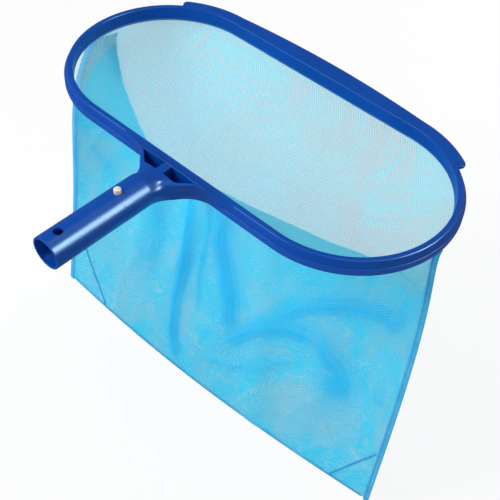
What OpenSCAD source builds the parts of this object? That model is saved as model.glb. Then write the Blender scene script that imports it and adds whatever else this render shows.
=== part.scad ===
// Leaf skimmer net: a moulded hoop on a hollow handle, a deep mesh bag held by a snap ring,
// and a spring clip whose two buttons lock the handle inside a pole.
// Frame: origin at the centre of the handle's open end, +Y into the hoop, +Z up, hoop level.

/* [Handle] */
// Outer diameter of the handle, which slides inside a pole
handle_od = 29; // [27:0.5:32]
// Wall of the handle
handle_wall = 2; // [1.8:0.1:2.6]
// Length from the open end to the hoop's outer edge
handle_len = 135.6; // [122:0.2:180]
// Diameter of the two cross holes
cross_hole_d = 8; // [7:0.5:9]
// Distance of the lock-pin hole from the open end
pin_hole_y = 14; // [10:1:24]
// Distance of the button hole from the hoop's outer edge
button_back = 62; // [61:0.2:66]
// How much fatter the handle's radius is behind the pole's seat
swell = 0.1; // [0.05:0.05:0.3]

/* [Hoop] */
// Inner length of the mouth
mouth_l = 398; // [340:2:440]
// Inner width of the mouth
mouth_w = 181; // [160:1:210]
// Height of the handle's axis above the hoop's top face
rim_drop = 1.6; // [0:0.2:4]
// Width of the rim's flat top face
face_w = 4.5; // [4:0.1:6]
// Width of the rim from the mouth's edge to its outer side
rim_w = 8.2; // [7.8:0.1:9]
// Depth of the rim's outer wall
wall_h = 6.4; // [6:0.1:7]
// Depth of the rim's inner skirt
skirt_h = 12.4; // [11:0.2:15]
// Depth of the hoop down to the bottom of the snap ring
rim_h = 13.6; // [13:0.2:17]

/* [Scoop lip] */
// Reach of the lip beyond the mouth's edge
lip_reach = 13; // [11:0.5:20]
// Extra reach at the middle of the lip
lip_crown = 6; // [3:0.5:9]
// Half length of the crowned stretch
crown_half = 110; // [80:2:130]
// Thickness of the lip
lip_t = 3; // [2:0.2:4]
// Angle on each end arc at which the lip stops
lip_end_angle = 52; // [40:1:70]

/* [Yoke] */
// Radius of the two concave flanks between handle and hoop
flank_r = 34; // [26:1:40]
// Height of the web's flat above the handle's axis
web_top = 8.2; // [6:0.2:10]
// Half width of the rib between the two pockets
rib_half = 4; // [3:0.5:6]
// Depth of the pockets' floor below the handle's axis
pocket_floor = 9.5; // [4:0.5:10]

/* [Spring clip] */
// Diameter of a button
button_d = 6.6; // [5:0.1:6.8]
// How far a button stands out of the handle
button_out = 4.2; // [3:0.1:4.6]
// Width of the clip's legs
leg_w = 8; // [6:0.5:9]
// Thickness of the clip's legs
leg_t = 1.6; // [1.2:0.1:2]
// Distance from a button to its leg's hinge
leg_reach = 26.4; // [24:0.2:30]

/* [Bag] */
// Diameter of the cord in the hem
cord_d = 2.8; // [2.4:0.1:2.8]
// Thickness of the hem tape
hem_t = 0.35; // [0.3:0.05:0.35]
// Depth of the hem below the hoop's top face
hem_h = 16; // [15:0.5:20]
// Depth of the bag below its hem
bag_depth = 336; // [280:4:380]
// How far the left corner hangs towards the handle
lean_left = 65; // [30:1:80]
// How far the right corner hangs towards the handle
lean_right = 47; // [30:1:80]
// Sag of the bottom seam between its corners
bottom_sag = 16; // [0:1:30]
// How far each end of the bag's bottom stands out beyond the mouth
bag_flare = 26.5; // [10:0.5:40]
// Swell of the left side seam below the hoop
swell_left = 24; // [0:1:40]
// Swell of the right side seam below the hoop
swell_right = 8; // [0:1:40]
// Width of the side bindings
binding_w = 7; // [5:0.5:10]
// Depth of the bottom binding
bottom_w = 6; // [4:0.5:9]
// Thickness of the mesh panels
mesh_t = 0.6; // [0.5:0.1:1]
// Height of the tallest fold in the mesh
fold_h = 9; // [0:0.5:14]

/* [Hidden] */
$fn = 96;

frame_blue = [0.10, 0.31, 0.66];
ring_blue = [0.08, 0.25, 0.57];
mesh_blue = [0.45, 0.80, 0.94];
seam_blue = [0.16, 0.59, 0.88];
cord_white = [0.86, 0.90, 0.92];
clip_white = [0.93, 0.93, 0.91];

gap = 0.3;                                  // clearance between pieces that don't touch
snug = 0.1;                                 // clearance of the snap ring under the rim
handle_r = handle_od / 2;
bore_r = handle_r - handle_wall;
tube_r = handle_r + swell;                  // the handle behind the pole's seat
half_w = mouth_w / 2;
bag_half = mouth_l / 2 + bag_flare;         // half width of the bag at its bottom
half_s = (mouth_l - mouth_w) / 2;           // half of the hoop's straight sides
hoop_y = handle_len + rim_w + half_w;       // centre of the hoop
rim_z = -rim_drop;                          // top face of the rim
button_y = handle_len - button_back;
seat_end = button_y - cross_hole_d / 2;     // end of the pole's seat
swell_end = seat_end + 1.4;

// ---- hoop ------------------------------------------------------------------------------

// sweeps a section, drawn as [distance from the mouth's edge, height], round the whole hoop
module round_hoop() {
    translate([0, hoop_y, rim_z]) {
        for (side = [-1, 1]) {
            translate([side * half_s, 0, 0])
                rotate([0, 0, -90 * side])
                    rotate_extrude(angle = 180)
                        translate([half_w, 0])
                            children();
            rotate([90, 0, 90 * side])
                translate([half_w, 0, -half_s])
                    linear_extrude(2 * half_s)
                        children();
        }
    }
}

// one side of the hoop's straight stretch, for cutting what joins the rim there
module straight_hoop(length) {
    translate([0, hoop_y, rim_z])
        rotate([90, 0, -90])
            translate([half_w, 0, -length / 2])
                linear_extrude(length)
                    children();
}

skirt_t = 1.6;                              // the inner skirt's thickness at its top
rim_top_t = 1.8;
chamfer = 0.6;
outer_top = face_w + chamfer;
outer_foot = rim_w - chamfer;
wall_t = 1.5;
catch_h = 5.15;                             // where the snap bead's groove starts
groove_x = outer_foot - wall_t;

function wall_inside(depth) =
    outer_top - chamfer + (groove_x - outer_top + chamfer) * (depth - rim_top_t) / (wall_h - rim_top_t);

// an upside-down channel: flat face, sloping outer wall, deep inner skirt
module rim_section() {
    polygon([[-0.7, -skirt_h], [0, -chamfer], [chamfer, 0], [face_w, 0], [outer_top, -0.5],
             [outer_foot, -wall_h], [groove_x, -wall_h], [groove_x + 0.1, -wall_h + 0.5],
             [wall_inside(catch_h), -catch_h], [outer_top - chamfer, -rim_top_t],
             [skirt_t, -rim_top_t], [skirt_t - 0.6, -skirt_h]]);
}

// the rim, the ring's room under it and the open mouth, where nothing of the yoke may be
module rim_room() {
    polygon([[-half_w, rim_drop], [-half_w, -handle_od], [rim_w + gap, -handle_od],
             [rim_w + gap, -wall_h], [outer_foot, -wall_h],
             [outer_top, -0.5], [face_w, 0], [face_w, rim_drop]]);
}

module rim() {
    color(frame_blue)
        round_hoop()
            rim_section();
}

crown_r = (crown_half * crown_half + lip_crown * lip_crown) / (2 * lip_crown);
lip_edge = half_w + lip_reach;

module stadium(r) {
    for (side = [-1, 1])
        translate([side * half_s, 0])
            circle(r);
    square([2 * half_s, 2 * r], center = true);
}

// the far half of the hoop, out to the radial line where the lip stops on each end arc
module lip_sector() {
    far = 2 * mouth_l;
    polygon([[-half_s, 0], [half_s, 0],
             [half_s + far * cos(lip_end_angle), far * sin(lip_end_angle)],
             [-half_s - far * cos(lip_end_angle), far * sin(lip_end_angle)]]);
}

module lip_plan() {
    intersection() {
        union() {
            stadium(lip_edge);
            intersection() {
                translate([0, lip_edge + lip_crown - crown_r])
                    circle(crown_r, $fn = 360);
                translate([-crown_half, 0])
                    square([2 * crown_half, lip_edge + lip_crown]);
            }
        }
        lip_sector();
    }
}

module scoop_lip() {
    color(frame_blue)
        difference() {
            translate([0, hoop_y, rim_z - lip_t])
                linear_extrude(lip_t)
                    lip_plan();
            translate([0, hoop_y, rim_z])
                rim_core();
        }
}

// the solid that the rim's outer surface bounds
module rim_core() {
    for (side = [-1, 1])
        translate([side * half_s, 0, 0])
            rotate([0, 0, -90 * side])
                rotate_extrude(angle = 180)
                    core_section();
    rotate([90, 0, 90])
        translate([0, 0, -half_s])
            linear_extrude(2 * half_s)
                core_section();
}

module core_section() {
    polygon([[0, rim_drop], [0, -wall_h], [half_w + outer_foot, -wall_h],
             [half_w + outer_top, -0.5], [half_w + face_w, 0], [half_w + face_w, rim_drop]]);
}

// ---- snap ring -------------------------------------------------------------------------

ring_inner = 2.6;
ring_top = wall_h + snug;
ring_wall = 1.5;
core_top = ring_top + 1.7;
tongue_x = 4.9;

// a ring cored from below, whose tongue presses the hem's cord into the channel
module clamp_section() {
    difference() {
        polygon([[ring_inner, -rim_h], [ring_inner, -ring_top], [tongue_x - 0.4, -ring_top + 0.3],
                 [tongue_x, -catch_h - 0.1], [tongue_x + 0.5, -catch_h - 0.1],
                 [groove_x - 0.25, -wall_h + 0.5], [groove_x - 0.35, -ring_top],
                 [rim_w, -ring_top], [rim_w, -rim_h + chamfer], [rim_w - chamfer, -rim_h]]);
        translate([ring_inner + ring_wall, -rim_h - 1])
            square([rim_w - ring_inner - 2 * ring_wall, rim_h + 1 - core_top]);
    }
}

module clamp_ring() {
    color(ring_blue)
        round_hoop()
            clamp_section();
}

// ---- handle and yoke -------------------------------------------------------------------

bow_depth = 5;                              // from the legs' hinges to the clip's deepest point
hinge_y = button_y + leg_reach;
yoke_y = hinge_y - 4;                       // where the plain tube ends
bow_y = hinge_y + bow_depth;
bore_end = bow_y + 1.5;
web_bottom = handle_r - 1.1;

module along_y(from, to, r1, r2) {
    translate([0, from, 0])
        rotate([-90, 0, 0])
            cylinder(h = to - from, r1 = r1, r2 = r2);
}

module cross_hole(y) {
    translate([0, y, 0])
        cylinder(h = 2 * handle_od, d = cross_hole_d, center = true);
}

module handle_tube() {
    color(frame_blue)
        difference() {
            union() {
                along_y(0, seat_end, handle_r, handle_r);
                along_y(seat_end, swell_end, handle_r, tube_r);
                along_y(swell_end, yoke_y, tube_r, tube_r);
            }
            along_y(-1, yoke_y + 1, bore_r, bore_r);
            cross_hole(pin_hole_y);
            cross_hole(button_y);
        }
}

// a smooth step from 0 to 1 between two places
function step(a, b, x) = let (q = min(1, max(0, (x - a) / (b - a)))) q * q * (3 - 2 * q);

shoulder_y = bore_end + 1.5;                // the tube's round top starts to fall here
web_run = 16;                               // the level stretch of the web before the hoop
pocket_l = 11;
pocket_back = 7;                            // from the pockets to the hoop
web_y = handle_len - web_run;
pocket_far = handle_len - pocket_back;
pocket_near = pocket_far - pocket_l;
rim_join = handle_len + rim_w - face_w;     // where the web runs out on the rim's flat face
over = 1;                                   // how far a cutting outline stands clear
toe = 0.5;                                  // the web's thickness where it ends on the rim

// the round tube's side view, running down into the web
module tube_side() {
    high = tube_r + over;
    low = web_top - over;
    polygon(concat(
        [[yoke_y - over, -high], [shoulder_y, -high],
         [shoulder_y + 6, over - web_bottom], [web_y, over - web_bottom]],
        [for (q = [1 : -0.1 : 0])
            [shoulder_y - 4 + (web_y - shoulder_y + 4) * q, high - (high - low) * step(0, 1, q)]],
        [[yoke_y - over, high]]));
}

// the web's side view: level, then falling to the rim's face
module web_side() {
    fall = rim_join - pocket_far + 2;
    polygon(concat(
        [[handle_len - flank_r - over, -web_bottom], [rim_join + over, -web_bottom],
         [rim_join + over, rim_z + toe]],
        [for (q = [1 : -0.1 : 0])
            [rim_join - fall * (1 - q), web_top - (web_top - rim_z - toe) * step(0, 1, q)]],
        [[handle_len - flank_r - over, web_top]]));
}

// cuts a side view to this half width
module sideways(half) {
    rotate([90, 0, 90])
        translate([0, 0, -half])
            linear_extrude(2 * half)
                children();
}

module yoke_plan() {
    reach = handle_r + flank_r;
    difference() {
        translate([-reach, handle_len - flank_r])
            square([2 * reach, flank_r + rim_w]);
        for (side = [-1, 1])
            translate([side * reach, handle_len - flank_r])
                circle(flank_r);
    }
}

pocket_out_near = 15.5;
pocket_out_far = 25;

module pocket(side) {
    translate([0, 0, -pocket_floor])
        linear_extrude(pocket_floor + handle_od)
            polygon([[side * rib_half, pocket_near], [side * pocket_out_near, pocket_near],
                     [side * pocket_out_far, pocket_far], [side * rib_half, pocket_far]]);
}

module yoke() {
    reach = handle_r + flank_r;
    color(frame_blue)
        difference() {
            union() {
                intersection() {
                    along_y(yoke_y, pocket_near + over, tube_r, tube_r);
                    sideways(handle_od)
                        tube_side();
                }
                intersection() {
                    translate([0, 0, -handle_od])
                        linear_extrude(2 * handle_od)
                            yoke_plan();
                    sideways(reach + over)
                        web_side();
                }
            }
            along_y(yoke_y - 1, bore_end, bore_r, bore_r);
            pocket(-1);
            pocket(1);
            straight_hoop(2 * reach + 2)
                rim_room();
        }
}

// ---- spring clip -----------------------------------------------------------------------

leg_z = bore_r - 2.1;                       // middle of a leg
leg_end = button_y - 7.6;
button_r = button_d / 2;
button_top = handle_r + button_out;
button_round = 2;
bow_corner = 3.5;

module leg(side) {
    color(clip_white)
        translate([-leg_w / 2, 0, 0])
            rotate([90, 0, 90])
                linear_extrude(leg_w) {
                    translate([hinge_y, side * leg_z])
                        circle(leg_t / 2);
                    translate([leg_end, side * leg_z - leg_t / 2])
                        square([hinge_y - leg_end, leg_t]);
                }
}

module upper_leg() leg(1);
module lower_leg() leg(-1);

bow_near = hinge_y + leg_t / 2 + gap;

// the bow's outline round both corners, drawn this far inside its outer face
module bow_outline(inset, near) {
    corner = bow_corner - inset;
    half = leg_z + leg_t / 2 - inset;
    deep = bow_y - inset;
    polygon(concat(
        [[near, -half]],
        [for (a = [-90 : 10 : 0]) [deep - corner + corner * cos(a), corner - half + corner * sin(a)]],
        [for (a = [0 : 10 : 90]) [deep - corner + corner * cos(a), half - corner + corner * sin(a)]],
        [[near, half]]));
}

module clip_bow() {
    color(clip_white)
        translate([-leg_w / 2, 0, 0])
            rotate([90, 0, 90])
                linear_extrude(leg_w)
                    difference() {
                        bow_outline(0, bow_near);
                        bow_outline(leg_t, bow_near - 1);
                    }
}

module button(side) {
    foot = leg_z + leg_t / 2;
    rounds = [for (a = [0 : 15 : 90])
        [button_r - button_round + button_round * cos(a),
         button_top - button_round + button_round * sin(a)]];
    color(clip_white)
        translate([0, button_y, 0])
            rotate([0, side > 0 ? 0 : 180, 0])
                rotate_extrude()
                    polygon(concat([[0, foot], [button_r, foot]], rounds, [[0, button_top]]));
}

module upper_button() button(1);
module lower_button() button(-1);

// ---- bag -------------------------------------------------------------------------------

cord_u = 3.45;                              // the hem cord's place in the channel
cord_v = -4.2;
strip_u = 1.75;                             // the hem tape's place beside the skirt
strip_t = 0.5;
hem_mid = strip_u + strip_t / 2;
panel_z = rim_z - hem_h - gap;              // top edge of the mesh
hem_r = half_w + hem_mid;
hem_half = half_s + hem_r * PI / 2;         // half length of one panel's top edge

module hem_cord() {
    color(cord_white)
        round_hoop()
            translate([cord_u, cord_v])
                circle(d = cord_d, $fn = 32);
}

// a tape wrapped round the cord, whose doubled tail hangs between skirt and snap ring
module hem_band() {
    color(seam_blue)
        round_hoop()
            difference() {
                union() {
                    translate([cord_u, cord_v])
                        circle(cord_d / 2 + hem_t, $fn = 32);
                    translate([strip_u, -hem_h])
                        square([strip_t, hem_h + cord_v]);
                }
                translate([cord_u, cord_v])
                    circle(cord_d / 2 + snug, $fn = 32);
            }
}

// the mesh's top edge: u runs from -1 at the left seam to 1 at the right one,
// side is 1 for the far panel and -1 for the near one
function hem_point(u, side) =
    let (l = u * hem_half,
         over = max(0, abs(l) - half_s),
         a = over / hem_r * 180 / PI,
         x = min(abs(l), half_s) + hem_r * sin(a))
    [sign(u) * x, hoop_y + side * hem_r * cos(a), panel_z];

edge_half = bag_half - binding_w;
bottom_z = panel_z - bag_depth;

// the mesh's bottom edge, which sags more towards the left
function bottom_point(u) =
    let (q = (u + 1) / 2)
    [u * edge_half, hoop_y - lean_left + (lean_left - lean_right) * q,
     bottom_z - bottom_sag * (1 - u * u) * (1 - 0.35 * u)];

// how far a side seam stands out of the straight line from hem to corner
function seam_swell(amount, v) = amount * (1 - exp(-v / 0.13) - v);

// the far panel at rest: u across, v from 0 at the hem to 1 at the bottom
function sheet(u, v) =
    let (q = (u + 1) / 2,
         out = -seam_swell(swell_left, v) * (1 - q) + seam_swell(swell_right, v) * q)
    hem_point(u, 1) * (1 - v) + bottom_point(u) * v + [out, 0, 0];

// depth, as a share of the bag's, at which the near panel falls against the far one
function touch(u) =
    u < -0.45 ? 0.46 - 0.4 * pow((-0.45 - u) / 0.55, 2.2)
              : 0.46 - 0.15 * (u + 0.45) - 0.15 * pow(max(0, u - 0.3) / 0.7, 3);

function open_share(u, v) = pow(max(0, 1 - v / touch(u)), 1.25);

// a fold: a ridge of half width w that runs from u0 at the hem to u1 at the bottom
function ridge(u, v, u0, u1, w, from, to) =
    exp(-pow((u - u0 - (u1 - u0) * v) / w, 2)) * step(0, 0.12, v - from) * step(0, 0.12, to - v);

function near_folds(u, v) =
    fold_h * (ridge(u, v, -0.42, -0.62, 0.06, 0.02, 0.8)
              + 0.8 * ridge(u, v, -0.16, -0.36, 0.05, 0.02, 0.75)
              + 0.9 * ridge(u, v, 0.02, 0.32, 0.07, 0.3, 1)
              + 0.7 * ridge(u, v, 0.42, 0.6, 0.08, 0.25, 0.95)
              + 0.6 * ridge(u, v, 0.75, 0.86, 0.06, 0.1, 0.7));

function far_folds(u, v) =
    fold_h * (0.6 * ridge(u, v, -0.6, -0.3, 0.09, 0.2, 0.95)
              + 0.5 * ridge(u, v, 0.25, 0.05, 0.09, 0.15, 0.9)
              + 0.5 * ridge(u, v, 0.7, 0.55, 0.08, 0.2, 0.9));

layer = mesh_t / 2 + gap;                   // half distance between the two panels' middles

// unit normal, towards the far side, of a surface through four neighbouring points
function unit_normal(left, right, up, down) = let (n = cross(up - down, right - left)) n / norm(n);

function sheet_normal(u, v) =
    let (d = 0.004,
         ua = max(-1, u - d),
         ub = min(1, u + d))
    unit_normal(sheet(ua, v), sheet(ub, v), sheet(u, v - d), sheet(u, v + d));

// half of the room between the layers, which open fully just below the hem
function spread(u, v) = sheet_normal(u, v) * layer * step(0, 0.03, v);

function near_point(u, v) =
    let (wide = (hem_point(u, -1) - hem_point(u, 1)) * open_share(u, v),
         fade = 1 - pow(abs(u), 8))
    sheet(u, v) + wide - spread(u, v) - [0, near_folds(u, v) * fade, 0];

function far_point(u, v) =
    let (fade = 1 - pow(abs(u), 8))
    sheet(u, v) + spread(u, v) + [0, far_folds(u, v) * fade, 0];

function panel_point(u, v, side) = side > 0 ? far_point(u, v) : near_point(u, v);

// the outward unit normal of a panel
function panel_normal(u, v, side) =
    let (d = 0.004,
         ua = max(-1, u - d),
         ub = min(1, u + d),
         va = max(0, v - d),
         vb = min(1, v + d))
    side * unit_normal(panel_point(ua, v, side), panel_point(ub, v, side),
                       panel_point(u, va, side), panel_point(u, vb, side));

across = 36;
down = 15;
panel_edge = 1 - gap / hem_half;            // each panel stops just short of the seam

// more rings near the hem, where the mesh turns most
function ring_at(j) = let (q = j / down) q * (0.55 + 0.45 * q);

// a thin closed sheet, one layer of points on each face
module panel(side) {
    inner = [for (j = [0 : down], i = [0 : across])
        let (u = panel_edge * (2 * i / across - 1), v = ring_at(j))
        panel_point(u, v, side) - panel_normal(u, v, side) * mesh_t / 2];
    outer = [for (j = [0 : down], i = [0 : across])
        let (u = panel_edge * (2 * i / across - 1), v = ring_at(j))
        panel_point(u, v, side) + panel_normal(u, v, side) * mesh_t / 2];
    row = across + 1;
    n = len(inner);
    cells = [for (j = [0 : down - 1], i = [0 : across - 1]) j * row + i];
    faces = concat(
        [for (c = cells) each [[c, c + 1, c + row + 1], [c, c + row + 1, c + row]]],
        [for (c = cells) each [[n + c, n + c + row + 1, n + c + 1], [n + c, n + c + row, n + c + row + 1]]],
        [for (i = [0 : across - 1]) each [[i, n + i, n + i + 1], [i, n + i + 1, i + 1]]],
        [for (i = [0 : across - 1])
            let (a = down * row + i)
            each [[a, a + 1, n + a + 1], [a, n + a + 1, n + a]]],
        [for (j = [0 : down - 1])
            let (a = j * row)
            each [[a, a + row, n + a + row], [a, n + a + row, n + a]]],
        [for (j = [0 : down - 1])
            let (a = j * row + across)
            each [[a, n + a, n + a + row], [a, n + a + row, a + row]]]);
    turned = [for (f = faces) [f[2], f[1], f[0]]];
    color(mesh_blue)
        polyhedron(concat(inner, outer), side > 0 ? turned : faces);
}

module near_panel() panel(-1);
module far_panel() panel(1);

// a flat strip along a path: each ring is [middle, half width vector, half thickness vector]
module strip(rings) {
    points = [for (r = rings) each [r[0] - r[1] - r[2], r[0] + r[1] - r[2],
                                    r[0] + r[1] + r[2], r[0] - r[1] + r[2]]];
    last = 4 * (len(rings) - 1);
    faces = concat(
        [[0, 1, 2], [0, 2, 3]],
        [for (k = [0 : len(rings) - 2], i = [0 : 3])
            let (a = 4 * k + i, b = 4 * k + (i + 1) % 4)
            each [[a, a + 4, b + 4], [a, b + 4, b]]],
        [[last, last + 2, last + 1], [last, last + 3, last + 2]]);
    polyhedron(points, faces);
}

binding_t = 2 * layer + mesh_t;             // over both layers
bottom_drop = gap + binding_t / 4;          // clears the lower edge of the leaning layers

module side_binding(side) {
    rings = 20;
    low = 1 + (bottom_w + bottom_drop) / bag_depth;     // down over the end of the bottom binding
    color(seam_blue)
        strip([for (k = [0 : rings])
            let (v = low * k / rings,
                 out = binding_w / 2 + gap + (layer + mesh_t / 2) * abs(sheet_normal(side, v)[0]))
            [sheet(side, v) + [side * out, 0, 0], [-binding_w / 2, 0, 0], [0, binding_t / 2, 0]]]);
}

module left_binding() side_binding(-1);
module right_binding() side_binding(1);

module bottom_binding() {
    rings = 20;
    color(seam_blue)
        strip([for (k = [0 : rings])
            let (u = -1 + 2 * k / rings)
            [bottom_point(u) - [0, 0, bottom_w / 2 + bottom_drop], [0, 0, bottom_w / 2],
             [0, binding_t / 2, 0]]]);
}

// the stitched line that draws a bottom corner in, lying on the near panel
module corner_seam(side, from_v, to_u) {
    rings = 6;
    width = 3;
    color(seam_blue)
        strip([for (k = [0 : rings])
            let (q = 0.04 + 0.92 * k / rings,
                 u = side * (0.97 - (0.97 - to_u) * q),
                 v = from_v + (1 - from_v) * q,
                 out = panel_normal(u, v, -1),
                 along = [side * (to_u - 1) * edge_half, 0, (from_v - 1) * bag_depth],
                 wide = cross(out, along))
            [near_point(u, v) + out * (mesh_t + gap),
             side * wide / norm(wide) * width / 2, out * mesh_t / 2]]);
}

module left_corner_seam() corner_seam(-1, 0.84, 0.79);
module right_corner_seam() corner_seam(1, 0.78, 0.79);

rim();
scoop_lip();
yoke();
handle_tube();
clamp_ring();
hem_cord();
hem_band();
near_panel();
far_panel();
left_binding();
right_binding();
bottom_binding();
left_corner_seam();
right_corner_seam();
clip_bow();
upper_leg();
lower_leg();
upper_button();
lower_button();
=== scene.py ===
"""Leaf skimmer net: looks for a moulded hoop and handle, its snap ring, mesh bag and spring clip.

Lengths inside the functions are millimetres in the part's frame, with the origin at the centre of the
handle's open end, +Y into the hoop and +Z up. Meshes are stored in metres.
"""

import math

import bmesh
import bpy
import numpy as np
from mathutils import Matrix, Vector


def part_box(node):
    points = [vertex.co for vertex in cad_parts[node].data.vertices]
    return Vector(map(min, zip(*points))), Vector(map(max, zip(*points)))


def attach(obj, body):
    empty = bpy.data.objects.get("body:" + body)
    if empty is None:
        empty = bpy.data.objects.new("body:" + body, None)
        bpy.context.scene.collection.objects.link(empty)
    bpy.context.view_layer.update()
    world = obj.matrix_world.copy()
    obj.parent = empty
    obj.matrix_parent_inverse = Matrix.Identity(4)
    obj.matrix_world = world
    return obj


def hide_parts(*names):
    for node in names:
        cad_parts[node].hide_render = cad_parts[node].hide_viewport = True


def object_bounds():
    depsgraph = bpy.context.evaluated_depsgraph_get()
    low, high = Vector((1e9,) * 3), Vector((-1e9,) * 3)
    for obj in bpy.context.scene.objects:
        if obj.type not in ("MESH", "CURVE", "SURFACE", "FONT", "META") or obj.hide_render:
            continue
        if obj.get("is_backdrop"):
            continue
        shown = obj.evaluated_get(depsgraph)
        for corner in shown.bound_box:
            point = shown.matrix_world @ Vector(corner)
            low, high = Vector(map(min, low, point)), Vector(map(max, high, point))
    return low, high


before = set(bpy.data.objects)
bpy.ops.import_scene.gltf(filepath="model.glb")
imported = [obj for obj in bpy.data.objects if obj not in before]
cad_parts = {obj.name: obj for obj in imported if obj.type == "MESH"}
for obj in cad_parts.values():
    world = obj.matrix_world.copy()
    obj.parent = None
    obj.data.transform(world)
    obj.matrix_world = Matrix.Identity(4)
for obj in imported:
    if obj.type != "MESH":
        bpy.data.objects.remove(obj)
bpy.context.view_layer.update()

bl_info = {
    "name": "Leaf Skimmer Net",
    "version": (1, 0, 0),
    "blender": (4, 5, 0),
    "location": "View3D > Sidebar > Skimmer",
    "description": "Builds a pool leaf skimmer net around its CAD frame",
    "category": "Add Mesh",
}

MM = 0.001


# ---- colours and settings --------------------------------------------------------------


def linear(hex_colour):
    """Linear red, green and blue of an sRGB hex colour."""
    part = np.array([int(hex_colour[i : i + 2], 16) for i in (1, 3, 5)]) / 255
    return tuple(np.where(part <= 0.04045, part / 12.92, ((part + 0.055) / 1.055) ** 2.4))


def length(name, description, millimetres):
    """A length setting, given in millimetres and kept in metres."""
    return bpy.props.FloatProperty(
        name=name, description=description, default=millimetres * MM, unit="LENGTH", precision=5
    )


def colour(name, description, hex_colour):
    """A colour setting, given as an sRGB hex colour."""
    return bpy.props.FloatVectorProperty(
        name=name, description=description, default=linear(hex_colour), subtype="COLOR", min=0, max=1
    )


def low(node):
    """Lowest corner of a CAD node, in millimetres."""
    return np.array(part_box(node)[0]) / MM


def high(node):
    """Highest corner of a CAD node, in millimetres."""
    return np.array(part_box(node)[1]) / MM


class SkimmerMouldingSettings(bpy.types.PropertyGroup):
    mouth_length: length("Mouth length", "Inner length of the hoop", 398)
    mouth_width: length("Mouth width", "Inner width of the hoop", 181)
    hoop_centre: length(
        "Hoop centre", "Distance of the hoop's centre from the handle's end",
        (low("rim") + high("rim"))[1] / 2,
    )
    rim_top: length("Rim top", "Height of the rim's top face", high("rim")[2])
    lip_reach: length("Lip reach", "Reach of the scoop lip beyond the mouth's edge", 13)
    lip_crown: length("Lip crown", "Extra reach at the middle of the lip", 6)
    lip_thickness: length("Lip thickness", "Thickness of the scoop lip", 3)
    handle_radius: length("Handle radius", "Outer radius of the handle inside the pole", 14.5)
    tube_radius: length(
        "Tube radius", "Outer radius of the handle behind the pole's seat", high("handle_tube")[0]
    )
    bore_radius: length("Bore radius", "Inner radius of the handle", 12.5)
    tube_length: length("Tube length", "Length of the plain tube", high("handle_tube")[1])
    hole_diameter: length("Hole diameter", "Diameter of the two cross holes", 8)
    pin_hole: length("Pin hole", "Distance of the lock-pin hole from the open end", 14)
    button_hole: length("Button hole", "Distance of the button hole from the open end", 73.6)
    web_top: length("Web top", "Height of the yoke's flat above the handle's axis", 8.2)
    web_bottom: length("Web bottom", "Depth of the yoke below the handle's axis", 13.4)
    flank_radius: length("Flank radius", "Radius of the yoke's two concave flanks", 34)
    moulding_colour: colour("Moulding", "Blue of the hoop and handle", "#024AAC")
    # the snap ring's blue is painted lighter than the frame's, to make up for the shade it hangs in
    # under the rim; the real ring is the frame's blue
    ring_lightened_colour: colour("Snap ring", "Blue of the snap ring", "#0450B8")


class SkimmerBagSettings(bpy.types.PropertyGroup):
    depth: length("Depth", "Depth of the bag below its hem", 336)
    lean_left: length("Left lean", "How far the left corner hangs towards the handle", 65)
    lean_right: length("Right lean", "How far the right corner hangs towards the handle", 47)
    sag: length("Sag", "Sag of the bottom seam", 22.5)
    flare: length("Flare", "How far each end of the bottom stands beyond the mouth", 26.5)
    swell_left: length("Left swell", "Swell of the left seam below the hoop", 24)
    swell_right: length("Right swell", "Swell of the right seam below the hoop", 8)
    fold_height: length("Fold height", "Height of the tallest fold", 9)
    cloth_thickness: length("Cloth thickness", "Thickness of the knitted mesh", 0.6)
    mesh_colour: colour("Mesh", "Cyan of the knitted mesh's yarn", "#34E9FF")
    fold_colour: colour("Folds", "Deeper cyan where the mesh is gathered", "#10D4FF")
    beat_colour: colour("Beat", "Pale lines where two layers of mesh beat", "#C6E6F2")
    binding_colour: colour("Binding", "Blue of the binding tape", "#14BCF4")
    hem_colour: colour("Hem", "Blue of the hem tape", "#2E7FC4")
    thread_colour: colour("Thread", "Blue of the sewing thread", "#0E7FDC")
    cord_colour: colour("Cord", "White of the cord in the hem", "#E6ECEE")


class SkimmerClipSettings(bpy.types.PropertyGroup):
    button_diameter: length("Button diameter", "Diameter of the two buttons", 6.5)
    button_top: length(
        "Button top", "Height of a button's crown above the handle's axis", high("upper_button")[2]
    )
    clip_colour: colour("Clip", "White of the spring clip", "#E2E2DC")


class SkimmerStageSettings(bpy.types.PropertyGroup):
    floor_colour: colour("Floor", "Colour of the floor", "#FBFBFB")
    lens: bpy.props.FloatProperty(
        name="Lens", description="Focal length of the camera", default=64.36, subtype="DISTANCE_CAMERA"
    )


# ---- meshes ----------------------------------------------------------------------------


def grid_faces(rows, columns, close_rows=False, close_columns=False):
    """Quads over a grid of points numbered row by row, which may wrap either way."""
    r = np.arange(rows if close_rows else rows - 1)[:, None]
    c = np.arange(columns if close_columns else columns - 1)[None, :]
    r2, c2 = (r + 1) % rows, (c + 1) % columns
    corners = [r * columns + c, r * columns + c2, r2 * columns + c2, r2 * columns + c]
    return np.stack(np.broadcast_arrays(*corners), -1)


def outward(points, faces):
    """The faces, turned round if the volume that they enclose, the sum of a . ((b - d) x c) over
    the corners of each, comes out negative."""
    a, b, c, d = (points[faces[:, i]] for i in range(4))
    return faces if (a * np.cross(b - d, c)).sum() > 0 else faces[:, ::-1]


def weld(mesh):
    """Joins points in one place, so that poles and closing seams hold together."""
    work = bmesh.new()
    work.from_mesh(mesh)
    bmesh.ops.remove_doubles(work, verts=work.verts, dist=1e-6)
    work.to_mesh(mesh)
    work.free()


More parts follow.
